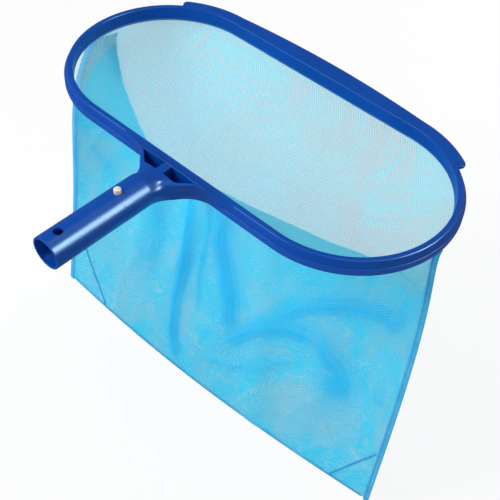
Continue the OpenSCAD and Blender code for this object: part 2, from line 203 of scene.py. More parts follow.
def add_piece(name, points, faces, material, body, nodes=(), sharp=40, uv=None, marks=None):
    """A mesh object from points in millimetres and quads, riding on a body and replacing CAD nodes."""
    points, faces = points.reshape(-1, 3), faces.reshape(-1, 4)
    mesh = bpy.data.meshes.new(name)
    mesh.from_pydata((points * MM).tolist(), [], outward(points, faces).tolist())
    mesh.validate()
    mesh.polygons.foreach_set("use_smooth", np.ones(len(mesh.polygons), bool))
    mesh.set_sharp_from_angle(angle=math.radians(sharp))
    if uv is not None:
        corner = np.zeros(len(mesh.loops), np.int32)
        mesh.loops.foreach_get("vertex_index", corner)
        at_corners = uv.reshape(-1, 2)[corner].astype(np.float32).ravel()
        mesh.uv_layers.new(name="Cloth").data.foreach_set("uv", at_corners)
    for key, values in (marks or {}).items():
        mesh.attributes.new(key, "FLOAT", "POINT").data.foreach_set("value", values.astype(np.float32))
    mesh.materials.append(material)
    weld(mesh)
    piece = bpy.data.objects.new(name, mesh)
    bpy.context.scene.collection.objects.link(piece)
    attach(piece, body)
    if nodes:
        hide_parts(*nodes)
    return piece


def unit(vectors):
    """Vectors scaled to a length of 1."""
    return vectors / np.linalg.norm(vectors, axis=-1, keepdims=True)


def stacked(*parts):
    """Points from their coordinates, given as arrays that broadcast to one shape."""
    return np.stack(np.broadcast_arrays(*parts), -1)


def turns(count):
    """Even angles round a full turn."""
    return 2 * math.pi * np.arange(count) / count


def run_along(line):
    """Distance along a line of points to each of them."""
    return np.concatenate([[0], np.cumsum(np.linalg.norm(np.diff(line, axis=0), axis=1))])


def smoothstep(start, end, x):
    """0 before start and 1 after end, with 3q^2 - 2q^3 between, for q the share of the way."""
    q = np.clip((x - start) / (end - start), 0, 1)
    return q * q * (3 - 2 * q)


def rounded(corners, cuts, steps=3, support=0.12):
    """A closed outline with each corner replaced by a curve.

    The curve starts and ends a cut away from the corner along its two edges, and follows
    (1-t)^2 A + 2t(1-t) C + t^2 B. A supporting point just outside each end keeps the flats flat.
    """
    cuts = np.broadcast_to(np.asarray(cuts, float), corners.shape[:-1])[..., None]
    back = unit(np.roll(corners, 1, axis=-2) - corners)
    ahead = unit(np.roll(corners, -1, axis=-2) - corners)
    a, b = corners + back * cuts, corners + ahead * cuts
    t = np.linspace(0, 1, steps + 1)[:, None]
    a, b, c = a[..., None, :], b[..., None, :], corners[..., None, :]
    curve = (1 - t) ** 2 * a + 2 * t * (1 - t) * c + t**2 * b
    first, last = a + back[..., None, :] * support, b + ahead[..., None, :] * support
    curve = np.concatenate([first, curve, last], -2)
    return curve.reshape(corners.shape[:-2] + (-1, 2))


# ---- hoop ------------------------------------------------------------------------------


class Hoop:
    """The mouth's edge, a stadium: t runs 0..4 over near side, right end, far side and left end."""

    def __init__(self, moulding):
        self.radius = moulding.mouth_width / MM / 2
        self.straight = (moulding.mouth_length - moulding.mouth_width) / MM / 2
        self.y = moulding.hoop_centre / MM
        self.z = moulding.rim_top / MM

    def path(self, t):
        """Centre of curvature and outward unit normal at t. The centre and the normal's angle both
        change evenly between the places where a straight meets an end."""
        angle = np.interp(t % 4, range(5), np.array([-1, -1, 1, 1, 3]) * math.pi / 2)
        middle = np.interp(t % 4, range(5), [-1, 1, 1, -1, -1])
        return self.straight * middle, np.stack([np.cos(angle), np.sin(angle)], -1)

    def sweep(self, t, section):
        """Points of a section of [outward, up] pairs, carried round the mouth's edge."""
        middle, normal = self.path(t)
        reach = self.radius + section[..., 0]
        x = middle[:, None] + normal[:, None, 0] * reach
        y = self.y + normal[:, None, 1] * reach
        return stacked(x, y, self.z + section[..., 1])


def even_path():
    """Places round the hoop: coarse on the straights, every 1.6 degrees on the ends."""
    straight, end = np.arange(30) / 30, np.arange(112) / 112
    return np.concatenate([straight, 1 + end, 2 + straight, 3 + end])


def swept(name, hoop, t, section, material, nodes, sharp=40, uv=None):
    """A closed ring: one section, or one for each place, carried round the mouth's edge."""
    points = hoop.sweep(t, np.broadcast_to(section, (len(t),) + section.shape[-2:]))
    faces = grid_faces(*points.shape[:2], True, True)
    return add_piece(name, points, faces, material, "frame", nodes, sharp, uv)


LIP_END = math.radians(52)          # angle on each end arc at which the lip stops
CROWN_HALF = 110                    # half length of the lip's crowned stretch
LIP_CORNER = 5                      # radius of the lip's two ends in plan
WALL_FOOT = (7.6, -6.4)             # foot of the rim's outer wall
WALL_HEAD = (4.9, 0.0)              # its head, at the top face
WALL_BREAK = 2.0                    # depth of the point between them where there is no lip
# the rim's inner wall, foot and head, and its inside, from the outer wall's foot to the inner one's
RIM_INNER = ((-0.7, -12.4), (0, 0))
RIM_CHANNEL = ((6.1, -6.4), (4.5, -1.8), (1.6, -1.8), (1.0, -12.4))
# how far each corner of the rim's section is cut, with a lip and without one
LIP_CUTS = (0.3, 1.0, 1.0, 1.0, 0.5, 0.4, 0.2, 0.2, 0.2, 0.2)
BARE_CUTS = (0.3, 1.0, 1.1, 0.1, 0.1, 0.4, 0.2, 0.2, 0.2, 0.2)
# the snap ring's section: outward, up and cut of each corner
RING_SECTION = np.array([
    (2.6, -13.6, 0.25), (2.6, -6.5, 0.25), (4.5, -6.2, 0.1), (4.9, -5.25, 0.1), (5.4, -5.25, 0.1),
    (5.85, -5.9, 0.1), (5.75, -6.5, 0.1), (8.2, -6.5, 0.5), (8.2, -13.6, 0.7), (6.7, -13.6, 0.2),
    (6.7, -8.2, 0.3), (4.1, -8.2, 0.3), (4.1, -13.6, 0.2),
])


def lip_path():
    """The even path, with extra places where the lip starts and ends."""
    start, end = 1.5 + LIP_END / math.pi, 3.5 - LIP_END / math.pi
    near = np.concatenate([[-0.012, -0.004, -0.0002], np.linspace(0, 0.022, 16)])
    t = np.concatenate([even_path(), start + near, end - near, 2 + np.linspace(0, 1, 60)])
    return np.unique(np.round(t % 4, 6)), start, end


def lip_reach(hoop, moulding, t, start, end):
    """How far the lip's edge stands out from the mouth's edge, and where there is a lip.

    The outline runs parallel to the mouth, with a circular arc of small rise added over the far
    straight, and each end turns in on a quarter circle.
    """
    reach, rise = moulding.lip_reach / MM, moulding.lip_crown / MM
    middle, normal = hoop.path(t)
    x = middle + normal[:, 0] * (hoop.radius + reach)
    crown = (CROWN_HALF**2 + rise**2) / (2 * rise)
    arc = np.sqrt(crown**2 - np.minimum(np.abs(x), CROWN_HALF) ** 2) - crown + rise
    faces_far = normal[:, 1] > 0.9
    reach = reach + np.where(faces_far, arc, 0)
    run = math.pi * (hoop.radius + reach)
    along = np.minimum((t - start) * run, (end - t) * run)
    turn = np.clip(LIP_CORNER - along, 0, LIP_CORNER)
    return reach - LIP_CORNER + np.sqrt(LIP_CORNER**2 - turn**2), along >= 0


def wall_at(depth):
    """How far the slanted outer wall stands out at a depth below the top face."""
    return WALL_HEAD[0] + (WALL_FOOT[0] - WALL_HEAD[0]) * depth / -WALL_FOOT[1]


def rim_outline(reach, lipped, thickness):
    """Corners of the rim's section at each place, an upside-down channel with or without a lip,
    and how far each is cut."""
    lip = stacked(reach[:, None], [0, -thickness])
    bare = [WALL_HEAD, (wall_at(WALL_BREAK), -WALL_BREAK)]
    edge = np.where(lipped[:, None, None], lip, bare)
    outer = [(wall_at(thickness), -thickness), WALL_FOOT, *RIM_CHANNEL]
    parts = [
        np.broadcast_to(part, (len(reach), *np.shape(part)[-2:])) for part in (RIM_INNER, edge, outer)
    ]
    return np.concatenate(parts, 1), np.where(lipped[:, None], LIP_CUTS, BARE_CUTS)


def make_rim(hoop, moulding, material):
    """The rim with its scoop lip: one section that changes on its way round the mouth."""
    t, start, end = lip_path()
    reach, lipped = lip_reach(hoop, moulding, t, start, end)
    section = rounded(*rim_outline(reach, lipped, moulding.lip_thickness / MM))
    return swept("hoop_rim", hoop, t, section, material, ["rim", "scoop_lip"])


def make_ring(hoop, material):
    """The snap ring: a ring cored from below, with a tongue into the rim's channel."""
    section = rounded(RING_SECTION[:, :2], RING_SECTION[:, 2], support=0.05)
    return swept("snap_ring", hoop, even_path(), section, material, ["clamp_ring"])


# ---- handle and yoke -------------------------------------------------------------------

RING_POINTS = 192                   # points round the handle
HOLE_SPAN = 8                       # grid steps from a cross hole's middle to its edge
HOLE_REACH = 14                     # and to the last ring that is laid out for it
HOLE_BLEND = 1.7                    # where the grid is straight again, in hole radii
SEAT_RUN = 1.4                      # length over which the pole's seat rises
BLIND_RUN = 10.5                    # how far the bore runs on behind the plain tube
BORE_BEVEL = 0.4                    # rounding of the open end, inside
MOUTH_BEVEL = 0.6                   # and outside


def handle_rings(moulding):
    """Place along the handle and radius of each ring, from the blind end of the bore round the
    open end to where the plain tube stops, and the inner ring, outer ring and place of each
    cross hole's middle."""
    radii = (moulding.bore_radius, moulding.handle_radius, moulding.tube_radius)
    bore, outer, tube = (radius / MM for radius in radii)
    places = (moulding.pin_hole, moulding.button_hole, moulding.tube_length)
    pin, button, stop = (place / MM for place in places)
    pitch = outer * math.sin(2 * math.pi * HOLE_SPAN / RING_POINTS) / HOLE_SPAN
    hole = pitch * np.arange(-HOLE_REACH, HOLE_REACH + 1)
    between = np.linspace(pin + 8, button - 8.2, 10)
    outside = np.concatenate([[0.8, 3, 6], pin + hole, between, button + hole, [stop - 10, stop]])
    blind, bevel = stop + BLIND_RUN, np.linspace(0, math.pi / 2, 5)
    inner_y = np.concatenate([[blind, blind, blind - 0.3], outside[::-1]])
    inner_r = np.concatenate([[0, bore - 0.3, bore], bore + 0 * outside])
    edge_y = np.concatenate([BORE_BEVEL * (1 - np.sin(bevel)), MOUTH_BEVEL * (1 - np.cos(bevel))])
    edge_r = np.concatenate([
        bore + BORE_BEVEL * (1 - np.cos(bevel)), outer - MOUTH_BEVEL * (1 - np.sin(bevel)),
    ])
    seat = button - moulding.hole_diameter / MM / 2
    outer_r = outer + (tube - outer) * smoothstep(seat, seat + SEAT_RUN, outside)
    first_inner, first_outer = len(inner_y) - 1, len(inner_y) + len(edge_y)
    steps = {place: int(np.argmin(np.abs(outside - place))) for place in (pin, button)}
    holes = [(first_inner - i, first_outer + i, place) for place, i in steps.items()]
    return np.concatenate([inner_y, edge_y, outside]), np.concatenate([inner_r, edge_r, outer_r]), holes


def open_holes(points, holes, radius):
    """Bends the grid round each cross hole, so that a square of grid lines lies on the hole's circle.

    In grid steps from the hole's middle, scaled so that its edge is 1, a point at the greater of its
    two distances m moves towards the same direction on a circle of radius m, fully at m = 1 and less
    until HOLE_BLEND.
    """
    span = np.arange(-HOLE_REACH, HOLE_REACH + 1)
    i, j = np.meshgrid(span, span, indexing="ij")
    m = np.maximum(np.abs(i), np.abs(j)) / HOLE_SPAN
    weight = 1 - smoothstep(1, HOLE_BLEND, m)
    along = np.hypot(i, j) + 1e-9
    for inner, outer, y in holes:
        for ring, turn in ((inner, -1), (outer, 1)):
            for top in (1, 3):
                rows = ring + turn * i
                columns = (top * RING_POINTS // 4 + j) % RING_POINTS
                at = points[rows, columns]
                across = -1 if top == 1 else 1
                round_x = across * j / along * m * radius
                round_y = y + i / along * m * radius
                x = at[..., 0] * (1 - weight) + round_x * weight
                r = np.hypot(at[..., 0], at[..., 2])
                z = np.sqrt(np.maximum(r**2 - x**2, 0)) * np.sign(at[..., 2])
                y_moved = at[..., 1] * (1 - weight) + round_y * weight
                points[rows, columns] = np.stack([x, y_moved, z], -1)
    return points


def hole_faces(holes, faces):
    """Drops the faces inside each hole and adds the wall between bore and outside."""
    keep = np.ones(faces.shape[:2], bool)
    square = np.arange(-HOLE_SPAN, HOLE_SPAN)
    side = np.concatenate([square, 0 * square + HOLE_SPAN, -square, 0 * square - HOLE_SPAN])
    up = np.roll(side, -2 * HOLE_SPAN)
    walls = []
    for inner, outer, _ in holes:
        for top in (1, 3):
            column = top * RING_POINTS // 4
            for ring in (inner, outer):
                keep[np.ix_(ring + square, column + square)] = False
            a = (inner - up) * RING_POINTS + column + side
            b = (outer + up) * RING_POINTS + column + side
            walls.append(np.stack([a, np.roll(a, -1), np.roll(b, -1), b], -1))
    return np.concatenate([faces[keep], *walls])


QUARTER = RING_POINTS // 4          # points from the side of the yoke to its middle
RIB_HALF = 4                        # half width of the rib between the pockets
POCKET = (117.6, 128.6)             # where the pockets start and end along the handle
POCKET_OUT = (15.5, 25)             # their outer side, at each end
POCKET_FLOOR = -9.5                 # height of their floor
POCKET_WALL = 0.5                   # least width of the web outside them
EDGE = 0.35                         # softened edge of the pockets
EDGE_DROP = 0.25                    # and how far it lies below the web
STEP = 0.02                         # width of a wall that stands upright
TURN = (94, 119.5)                  # where the tube's round top turns into the flat web
TURN_SLANT = 7                      # how much sooner its sides begin to turn
WEB_CORNER = 2.2                    # rounding along the flanks' top edge
START_CORNER = 8.5                  # how much more it is where the web begins
CORNER_LOST = 0.75                  # and the share of it that is gone at the rim
FOOT_CORNER = 2.0                   # rounding along the flanks' lower edge
EARLY = 11.7                        # how much sooner the flanks' top edge starts than the lower one
SPREAD = 16                         # how much further it reaches along the rim
BESIDE_RIM = 3.1                    # how much deeper the flanks run in at the rim's top face
SHORT = 0.4                         # how far short of the snap ring's face they end
OVERLAP = 1.2                       # distance of the yoke's end from the mouth's edge
RING_FACE = 8.2                     # distance of the snap ring's outer face from it
WALL_DEPTH = 6.3                    # height of the rim's slanted wall
RING_FROM = 0.82                    # share of that height at which the snap ring's bead begins
WALL_STAND = (4.3, 2.9, 1.02)       # the skin's distance at its head, and what slant and bead add
MIDDLE = -4                         # height at which the upper and lower sides meet on the flanks
CROWN_DROP = 1.4                    # fall of the web from its middle to its flanks
WEB_SMOOTHING = 14                  # rounds that even out the web before the pockets


def yoke_rows(stop, shoulder, flank, join):
    """Places along the yoke, with close pairs at the pockets' two ends, and then at even angles
    round the flanks until they run along the hoop."""
    lip = np.array([-EDGE, 0, STEP, EDGE])
    start = math.asin((POCKET[1] + 1 - shoulder) / flank)
    return np.concatenate([
        np.linspace(stop, POCKET[0] - 1, 26)[1:], POCKET[0] + lip,
        np.linspace(POCKET[0] + 1, POCKET[1] - 1, 14), POCKET[1] - lip[::-1],
        shoulder + flank * np.sin(np.linspace(start, math.pi / 2, 22)),
        np.linspace(shoulder + flank, join, 16)[1:],
    ])


def yoke_top(y, width, top, fall):
    """Right half of the yoke's upper side at each place: up the flank, round its edge, over the
    pocket and to the middle.

    The crown falls with the fourth power of the distance from the middle. Pairs of points
    STEP apart make the pocket's upright walls.
    """
    shoulder = top - CROWN_DROP * (1 - fall)
    begun = smoothstep(TURN[0], POCKET[0] + 5, y)
    corner = (WEB_CORNER * (1 - CORNER_LOST * fall) + START_CORNER * (1 - begun))[:, None]
    flat, rise = width[:, None] - corner, shoulder[:, None] - corner
    bend = np.linspace(0, math.pi / 2, 9)[1:]
    level = MIDDLE + np.linspace(0, 1, 9) * (rise - MIDDLE)
    up = stacked(width[:, None], level)
    edge = np.stack([flat + corner * np.cos(bend), rise + corner * np.sin(bend)], -1)
    out = np.minimum(np.interp(y, POCKET, POCKET_OUT)[:, None], flat - POCKET_WALL)
    still = 0 * out
    x = np.concatenate([
        flat + (out + EDGE - flat) * np.linspace(0, 1, 11)[1:],
        out + np.array([0, -STEP, -EDGE]),
        out - EDGE + (RIB_HALF + 2 * EDGE - out) * np.linspace(0, 1, 10)[1:],
        RIB_HALF + np.array([STEP, 0, -EDGE]) + still,
        (RIB_HALF - EDGE) * (1 - np.linspace(0, 1, 8)[1:]) + still,
    ], 1)
    # which of these 32 points lie in the pocket, and which on its softened edge
    sunk = np.concatenate([np.zeros(11), np.ones(12), np.zeros(9)])
    soft = np.zeros(32)
    soft[[10, 23]] = EDGE_DROP
    inside = ((y > POCKET[0] + STEP / 2) & (y < POCKET[1] - STEP / 2))[:, None]
    crest = top[:, None] - (top - shoulder)[:, None] * (x / flat) ** 4
    z = np.where(inside & (sunk > 0), POCKET_FLOOR, crest - soft * inside)
    return np.concatenate([up, edge, np.stack([x, z], -1)], 1)


def yoke_below(width, bottom):
    """Right half of the yoke's lower side: down the flank, round its edge and in to the middle."""
    q = np.linspace(0, 1, QUARTER + 1)
    down, across = np.clip(q / 0.3, 0, 1), np.clip((q - 0.5) / 0.5, 0, 1)
    turn = np.clip((q - 0.3) / 0.2, 0, 1) * math.pi / 2
    x = (width[:, None] - FOOT_CORNER + FOOT_CORNER * np.cos(turn)) * (1 - across)
    return stacked(x, MIDDLE - (bottom - FOOT_CORNER + MIDDLE) * down - FOOT_CORNER * np.sin(turn))


def yoke_skin(moulding, hoop, circle):
    """Rings of points along the yoke.

    Each section mixes the tube's circle into a slab, whose half width follows the two concave
    flanks: a quarter ellipse at each height, larger higher up, which ends along the rim's slanted
    wall or the snap ring under it. Nothing passes these.
    """
    sizes = (moulding.tube_radius, moulding.tube_length, moulding.flank_radius, moulding.web_bottom)
    tube, stop, flank, bottom = (size / MM for size in sizes)
    edge = hoop.y - hoop.radius                       # the mouth's near edge
    shoulder = edge - RING_FACE - flank               # where the flanks start
    y = yoke_rows(stop, shoulder, flank, edge - OVERLAP)
    width = tube + flank - np.sqrt(flank**2 - np.clip(y - shoulder, 0, flank) ** 2)
    fall = smoothstep(POCKET[1] - 2, edge - 5, y)
    top = moulding.web_top / MM * (1 - fall) + (hoop.z + 0.02) * fall
    right, below = yoke_top(y, width, top, fall), yoke_below(width, bottom)
    left = right[:, ::-1] * [-1, 1]
    slab = np.concatenate([right, left[:, 1:], (below * [-1, 1])[:, 1:], below[:, ::-1][:, 1:-1]], 1)
    # widen the flanks, the more the higher up
    beside = 1 - np.clip((hoop.z - slab[..., 1]) / WALL_DEPTH, 0, 1)
    foot = FOOT_CORNER - bottom
    high_up = np.clip((slab[..., 1] - foot) / (top - WEB_CORNER - foot)[:, None], 0, 1)
    deep = flank + EARLY * high_up + BESIDE_RIM * beside - SHORT
    run = np.clip((y[:, None] - shoulder + EARLY * high_up) / deep, 0, 1)
    wider = tube + (flank + SPREAD * high_up) * (1 - np.sqrt(1 - run**2)) - width[:, None]
    side = smoothstep(0.7, 1, np.abs(slab[..., 0]) / width[:, None])
    slab[..., 0] += np.sign(slab[..., 0]) * wider * side
    start = np.maximum(TURN[0] - TURN_SLANT + TURN_SLANT * circle[:, 1], stop)
    share = smoothstep(start, TURN[1], y[:, None])[..., None]
    ring = tube * circle * (1 - share) + slab * share
    # even out the web before the pockets: each point moves towards the mean of its four neighbours
    loose = smoothstep(stop, stop + 7, y) * (1 - smoothstep(POCKET[0] - 5, POCKET[0] - 1, y))
    for _ in range(WEB_SMOOTHING):
        beyond = np.concatenate([ring[:1], ring, ring[-1:]])
        mean = (np.roll(ring, 1, 1) + np.roll(ring, -1, 1) + beyond[:-2] + beyond[2:]) / 4
        ring = ring + 0.9 * loose[:, None, None] * (mean - ring)
    # stop at the rim's slanted wall and the snap ring under it, and over the rim at its top face
    depth = np.clip((hoop.z - ring[..., 1]) / WALL_DEPTH, 0, 1)
    head, slant, under = WALL_STAND
    limit = edge - head - slant * depth - under * smoothstep(RING_FROM, 1, depth)
    limit = np.where(depth > 0, limit, edge - OVERLAP)
    return stacked(ring[..., 0], np.minimum(y[:, None], limit), ring[..., 1])


def make_handle(hoop, moulding, material):
    """Handle and yoke in one closed skin: bore, open end, outside with its cross holes, and web."""
    y, r, holes = handle_rings(moulding)
    angle = turns(RING_POINTS)
    circle = np.stack([np.cos(angle), np.sin(angle)], -1)
    tube = stacked(r[:, None] * circle[:, 0], y[:, None], r[:, None] * circle[:, 1])
    tube = open_holes(tube, holes, moulding.hole_diameter / MM / 2)
    web = yoke_skin(moulding, hoop, circle)
    points = np.concatenate([tube, web, web[-1:] * [0, 1, 1]])
    faces = hole_faces(holes, grid_faces(len(points), RING_POINTS, False, True))
    nodes = ["yoke", "handle_tube"]
    return add_piece("handle_and_yoke", points, faces, material, "frame", nodes)


# ---- bag -------------------------------------------------------------------------------


def bump(x):
    """A bell curve, e^(-x^2)."""
    return np.exp(-(x**2))


# folds and creases of the panels: places (u, v) that each one passes, its width and its height
NEAR_FOLDS = [
    ([(-0.42, 0.02), (-0.62, 0.8)], 16, 9.0),
    ([(-0.16, 0.02), (-0.36, 0.75)], 13, 7.0),
    ([(0.02, 0.3), (0.32, 1.0)], 18, 8.0),
    ([(0.42, 0.25), (0.6, 0.95)], 20, 6.0),
    ([(0.75, 0.1), (0.86, 0.7)], 15, 5.4),
]
NEAR_CREASES = [
    ([(-0.36, 0.36), (-0.305, 0.65), (-0.318, 0.79), (-0.287, 0.9), (-0.2, 1.0)], 6, 4.5),
    ([(-0.27, 0.36), (-0.23, 0.53), (-0.228, 0.63), (-0.215, 0.708), (-0.18, 0.79)], 3.5, 2.4),
    ([(-0.2, 0.36), (-0.155, 0.544), (-0.08, 0.62), (-0.03, 0.68), (0.032, 0.79)], 9, 4.5),
    ([(0.0, 0.84), (0.052, 0.79), (0.18, 0.684), (0.275, 0.654), (0.383, 0.634), (0.48, 0.63)], 7, 3.6),
    ([(0.4, 0.6), (0.5, 0.624), (0.595, 0.654), (0.657, 0.692), (0.7, 0.75)], 8, 3.8),
    ([(0.56, 0.66), (0.625, 0.69), (0.62, 0.75)], 13, 4.2),
    ([(0.2, 0.65), (0.37, 0.542), (0.492, 0.478), (0.62, 0.44), (0.755, 0.393), (0.848, 0.307)], 6, 3.2),
    ([(-0.12, 0.92), (0.09, 0.876), (0.265, 0.792), (0.4, 0.72)], 4.5, 1.8),
    ([(-0.95, 0.42), (-0.86, 0.48), (-0.78, 0.54)], 5, 1.6),
    ([(0.8, 0.62), (0.945, 0.59)], 5, 1.8),
    ([(-0.62, 0.3), (-0.5, 0.62), (-0.52, 0.8)], 8, 2.2),
]
FAR_FOLDS = [
    ([(-0.6, 0.2), (-0.3, 0.95)], 24, 5.4),
    ([(0.25, 0.15), (0.05, 0.9)], 24, 4.5),
    ([(0.7, 0.2), (0.55, 0.9)], 22, 4.5),
]

HEM_OUT = 2                         # distance of the hem's edge from the mouth's edge
HEM_DROP = 16.3                     # and below the rim's top face
SEAM_GAP = 0.3                      # half of the gap between the two layers of mesh
SOLID_TAPE, SOLID_HEEL = 7, 6       # widths of the side and bottom tapes in the CAD frame
STITCH_PITCH = 3.2                  # millimetres from one stitch to the next
STITCH_HALF = (1.5, 0.75, 0.4)      # half length, half width and half height of a stitch
STITCH_INSET = 1.2                  # distance of a side row from its tape's inner edge
STITCH_RAISED = 0.8                 # height of the bottom row above its tape's middle
STITCH_OUT = 0.82                   # how far the rows on a tape's faces stand off its middle
SEAM_STITCH_OUT = 0.3               # and those on a corner seam
SEAM_MARGIN = 0.3                   # how far the cloth ends inside a seam, and the tape lies outside
TUCK = 1.6                          # how far the binding tapes lap over the cloth
TAPE = {-1: 6.2, 1: 4.6}            # width of the left and right tapes beside the cloth
HEEL = 3.2                          # width of the bottom tape below the cloth
HEEL_GAP = 0.75                     # slack between the cloth's end and the bottom tape
SIDE_THICKNESS, HEEL_THICKNESS = 1.9, 1.7
CORNER_SEAM = (2.2, 0.7)            # width and thickness of a corner seam
PUFF = 0.25                         # share by which a tape swells between two stitches
STRAND = 7                          # millimetres between the strands of gathered cloth
FOLD_FADE = 30                      # millimetres over which a fold fades at its ends
CREASE_MARK = (1.7, 0.4)            # how much wider a crease's colour is, and how far it is stranded
CREASE_FULL = 4                     # height of a crease at which its colour is full
RIDGES = (62, 41, 27, 19)           # millimetres between the ridges of each wave of slack
SLACK_HEIGHT = 1.1                  # height of one such ridge
SLACK_SEED = {-1: 3, 1: 8}          # where the random directions of each panel's waves start
GATHERED = 0.6                      # how far the near panel counts as doubled where it hangs alone
STRETCHED = 1.9                     # and how much less in the stretched band
BAND_U = (-1, -0.93, -0.88, -0.73, -0.6, -0.5)        # the stretched band's lower edge, as u
BAND_V = (0.25, 0.14, 0.08, 0.08, 0.06, -0.02)        # and v
TO_HANDLE = np.array([[0, -1.0, 0]])                  # direction in which the tapes face


def fade_in(v, run):
    """From 0 at the hem towards 1, as 1 - e^(-v / run)."""
    return 1 - np.exp(-v / run)


class Bag:
    """The bag's two panels: u runs from the left seam at -1 to the right seam at 1, and v from the
    hem at 0 to the bottom seam at 1."""

    def __init__(self, moulding, bag, hoop):
        self.hoop = hoop
        self.thickness = bag.cloth_thickness / MM
        self.layer = self.thickness / 2 + SEAM_GAP
        self.radius = hoop.radius + HEM_OUT
        self.half = hoop.straight + self.radius * math.pi / 2
        self.top = hoop.z - HEM_DROP
        self.depth = bag.depth / MM
        self.edge = moulding.mouth_length / MM / 2 + bag.flare / MM - SOLID_TAPE
        self.lean = (bag.lean_left / MM, bag.lean_right / MM)
        self.sag = bag.sag / MM
        self.swell = (bag.swell_left / MM, bag.swell_right / MM)
        self.fold = bag.fold_height / MM / NEAR_FOLDS[0][2]

    def hem(self, u, side):
        """The hem's edge, half of a stadium: straight, then round each end."""
        run = np.abs(u) * self.half
        angle = np.maximum(0, run - self.hoop.straight) / self.radius
        x = np.minimum(run, self.hoop.straight) + self.radius * np.sin(angle)
        y = self.hoop.y + side * self.radius * np.cos(angle)
        return np.stack([np.sign(u) * x, y, self.top + 0 * x], -1)

    def bottom(self, u):
        """The bottom seam: it leans evenly towards the handle and sags as a parabola, a little
        deeper on the left."""
        q = (u + 1) / 2
        y = self.hoop.y - self.lean[0] * (1 - q) - self.lean[1] * q
        z = self.top - self.depth - SOLID_HEEL + HEEL - self.sag * (1 - u * u) * (1 - 0.17 * u)
        return np.stack([u * self.edge, y, z], -1)

    def sheet(self, u, v):
        """Middle surface: straight lines from the far hem to the bottom seam, moved sideways, the
        more the nearer to a seam. Each seam swells by 1 - e^(-v/0.13) - v times its own amount.
        The left one is pulled by (1 - e^(-v/0.03)) (4 + 5 e^(-v/0.45) + 9 w e^(1 - w)), with w the
        square of v/0.3, and the right one by 7.5 (1 - e^(-v/0.5)) - 6 (1 - e^(-v/0.04)) e^(-v/0.35).
        """
        q, swell, w = (u + 1) / 2, fade_in(v, 0.13) - v, (v / 0.3) ** 2
        left = fade_in(v, 0.03) * (4 + 5 * np.exp(-v / 0.45) + 9 * w * np.exp(1 - w))
        right = 7.5 * fade_in(v, 0.5) - 6 * fade_in(v, 0.04) * np.exp(-v / 0.35)
        p = self.hem(u, 1) * (1 - v)[..., None] + self.bottom(u) * v[..., None]
        p[..., 0] += (self.swell[1] * swell + right) * q - (self.swell[0] * swell + left) * (1 - q)
        return p

    def normal(self, u, v):
        """Unit normal of the middle surface, away from the handle."""
        step = 0.004
        across = self.sheet(np.minimum(1, u + step), v) - self.sheet(np.maximum(-1, u - step), v)
        return unit(np.cross(self.sheet(u, v - step) - self.sheet(u, v + step), across))

    def touch(self, u):
        """The v at which the two panels come together: 0.451, less 0.46 a^2.05 with a from 0 at
        u = -0.47 by 1 for each 0.45 to the left, less 0.19 for each 1 right of u = -0.08, and less
        0.12 b^3 with b from 0 at u = 0.3 to 1 at the right seam."""
        a, b = np.maximum(0, -0.47 - u) / 0.45, np.maximum(0, u - 0.3) / 0.7
        return np.maximum(0.03, 0.451 - 0.46 * a**2.05 - (0.19 * np.maximum(0, u + 0.08) + 0.12 * b**3))

    def apart(self, u, v):
        """How far the near panel still stands off, from 1 at the hem to 0 where the panels touch."""
        return np.maximum(0, 1 - v / self.touch(u)) ** 1.25

    def flat(self, u, v):
        """Millimetres across and down the cloth, for distances between places on it."""
        return np.stack([u * self.half, v * self.depth], -1)

    def folds(self, u, v, folds, spread=1.0, gathers=0.0):
        """Height of the folds: a bell curve of the distance to a line, fading to a quarter at its
        ends, which gathers break into strands."""
        here, total = self.flat(u, v), 0 * u
        for line, width, height in folds:
            line = self.flat(*np.array(line).T)
            run = run_along(line)
            best, at = np.full(u.shape, 1e9), 0 * u
            for a, b, start, end in zip(line[:-1], line[1:], run[:-1], run[1:]):
                share = np.clip(((here - a) @ (b - a)) / ((b - a) @ (b - a)), 0, 1)
                far = np.linalg.norm(here - a - share[..., None] * (b - a), axis=-1)
                at = np.where(far < best, start + share * (end - start), at)
                best = np.minimum(best, far)
            reach = min(FOLD_FADE, run[-1] / 3)
            fade = 0.25 + 0.75 * smoothstep(-2, reach, at) * smoothstep(-2, reach, run[-1] - at)
            strands = 1 - gathers * (0.5 - 0.5 * np.cos(2 * math.pi * best / STRAND))
            total = np.maximum(total, height * bump(best / (width * spread)) * strands * fade)
        return total * self.fold

    def crumple(self, u, v, seed):
        """Fine slack in the cloth: for each wave, of random direction and phase and with its lines
        bent by two slow sines, (1 - |sin|)^2.2, which is a ridge where the wave crosses zero."""
        random = np.random.default_rng(seed)
        here, total = self.flat(u, v) / 100, 0 * u
        for size in RIDGES:
            turn, phase = random.uniform(0, math.pi), random.uniform(0, 6, 3)
            x = here[..., 0] * math.cos(turn) + here[..., 1] * math.sin(turn)
            y = here[..., 1] * math.cos(turn) - here[..., 0] * math.sin(turn)
            bend = np.sin(2.1 * y + phase[0]) + 0.7 * np.sin(3.7 * x + 1.3 * y + phase[1])
            wave = np.abs(np.sin(math.pi * 100 / size * x + 1.4 * bend + phase[2]))
            total += size / RIDGES[0] * (1 - wave) ** 2.2
        return total

    def pinned(self, u, v):
        """0 along the hem and the seams and 1 in the open cloth."""
        ends = smoothstep(0, 0.06, v) * smoothstep(0, 0.05, 1.003 - v)
        return ends * smoothstep(0, 0.06, 1 - np.abs(u))

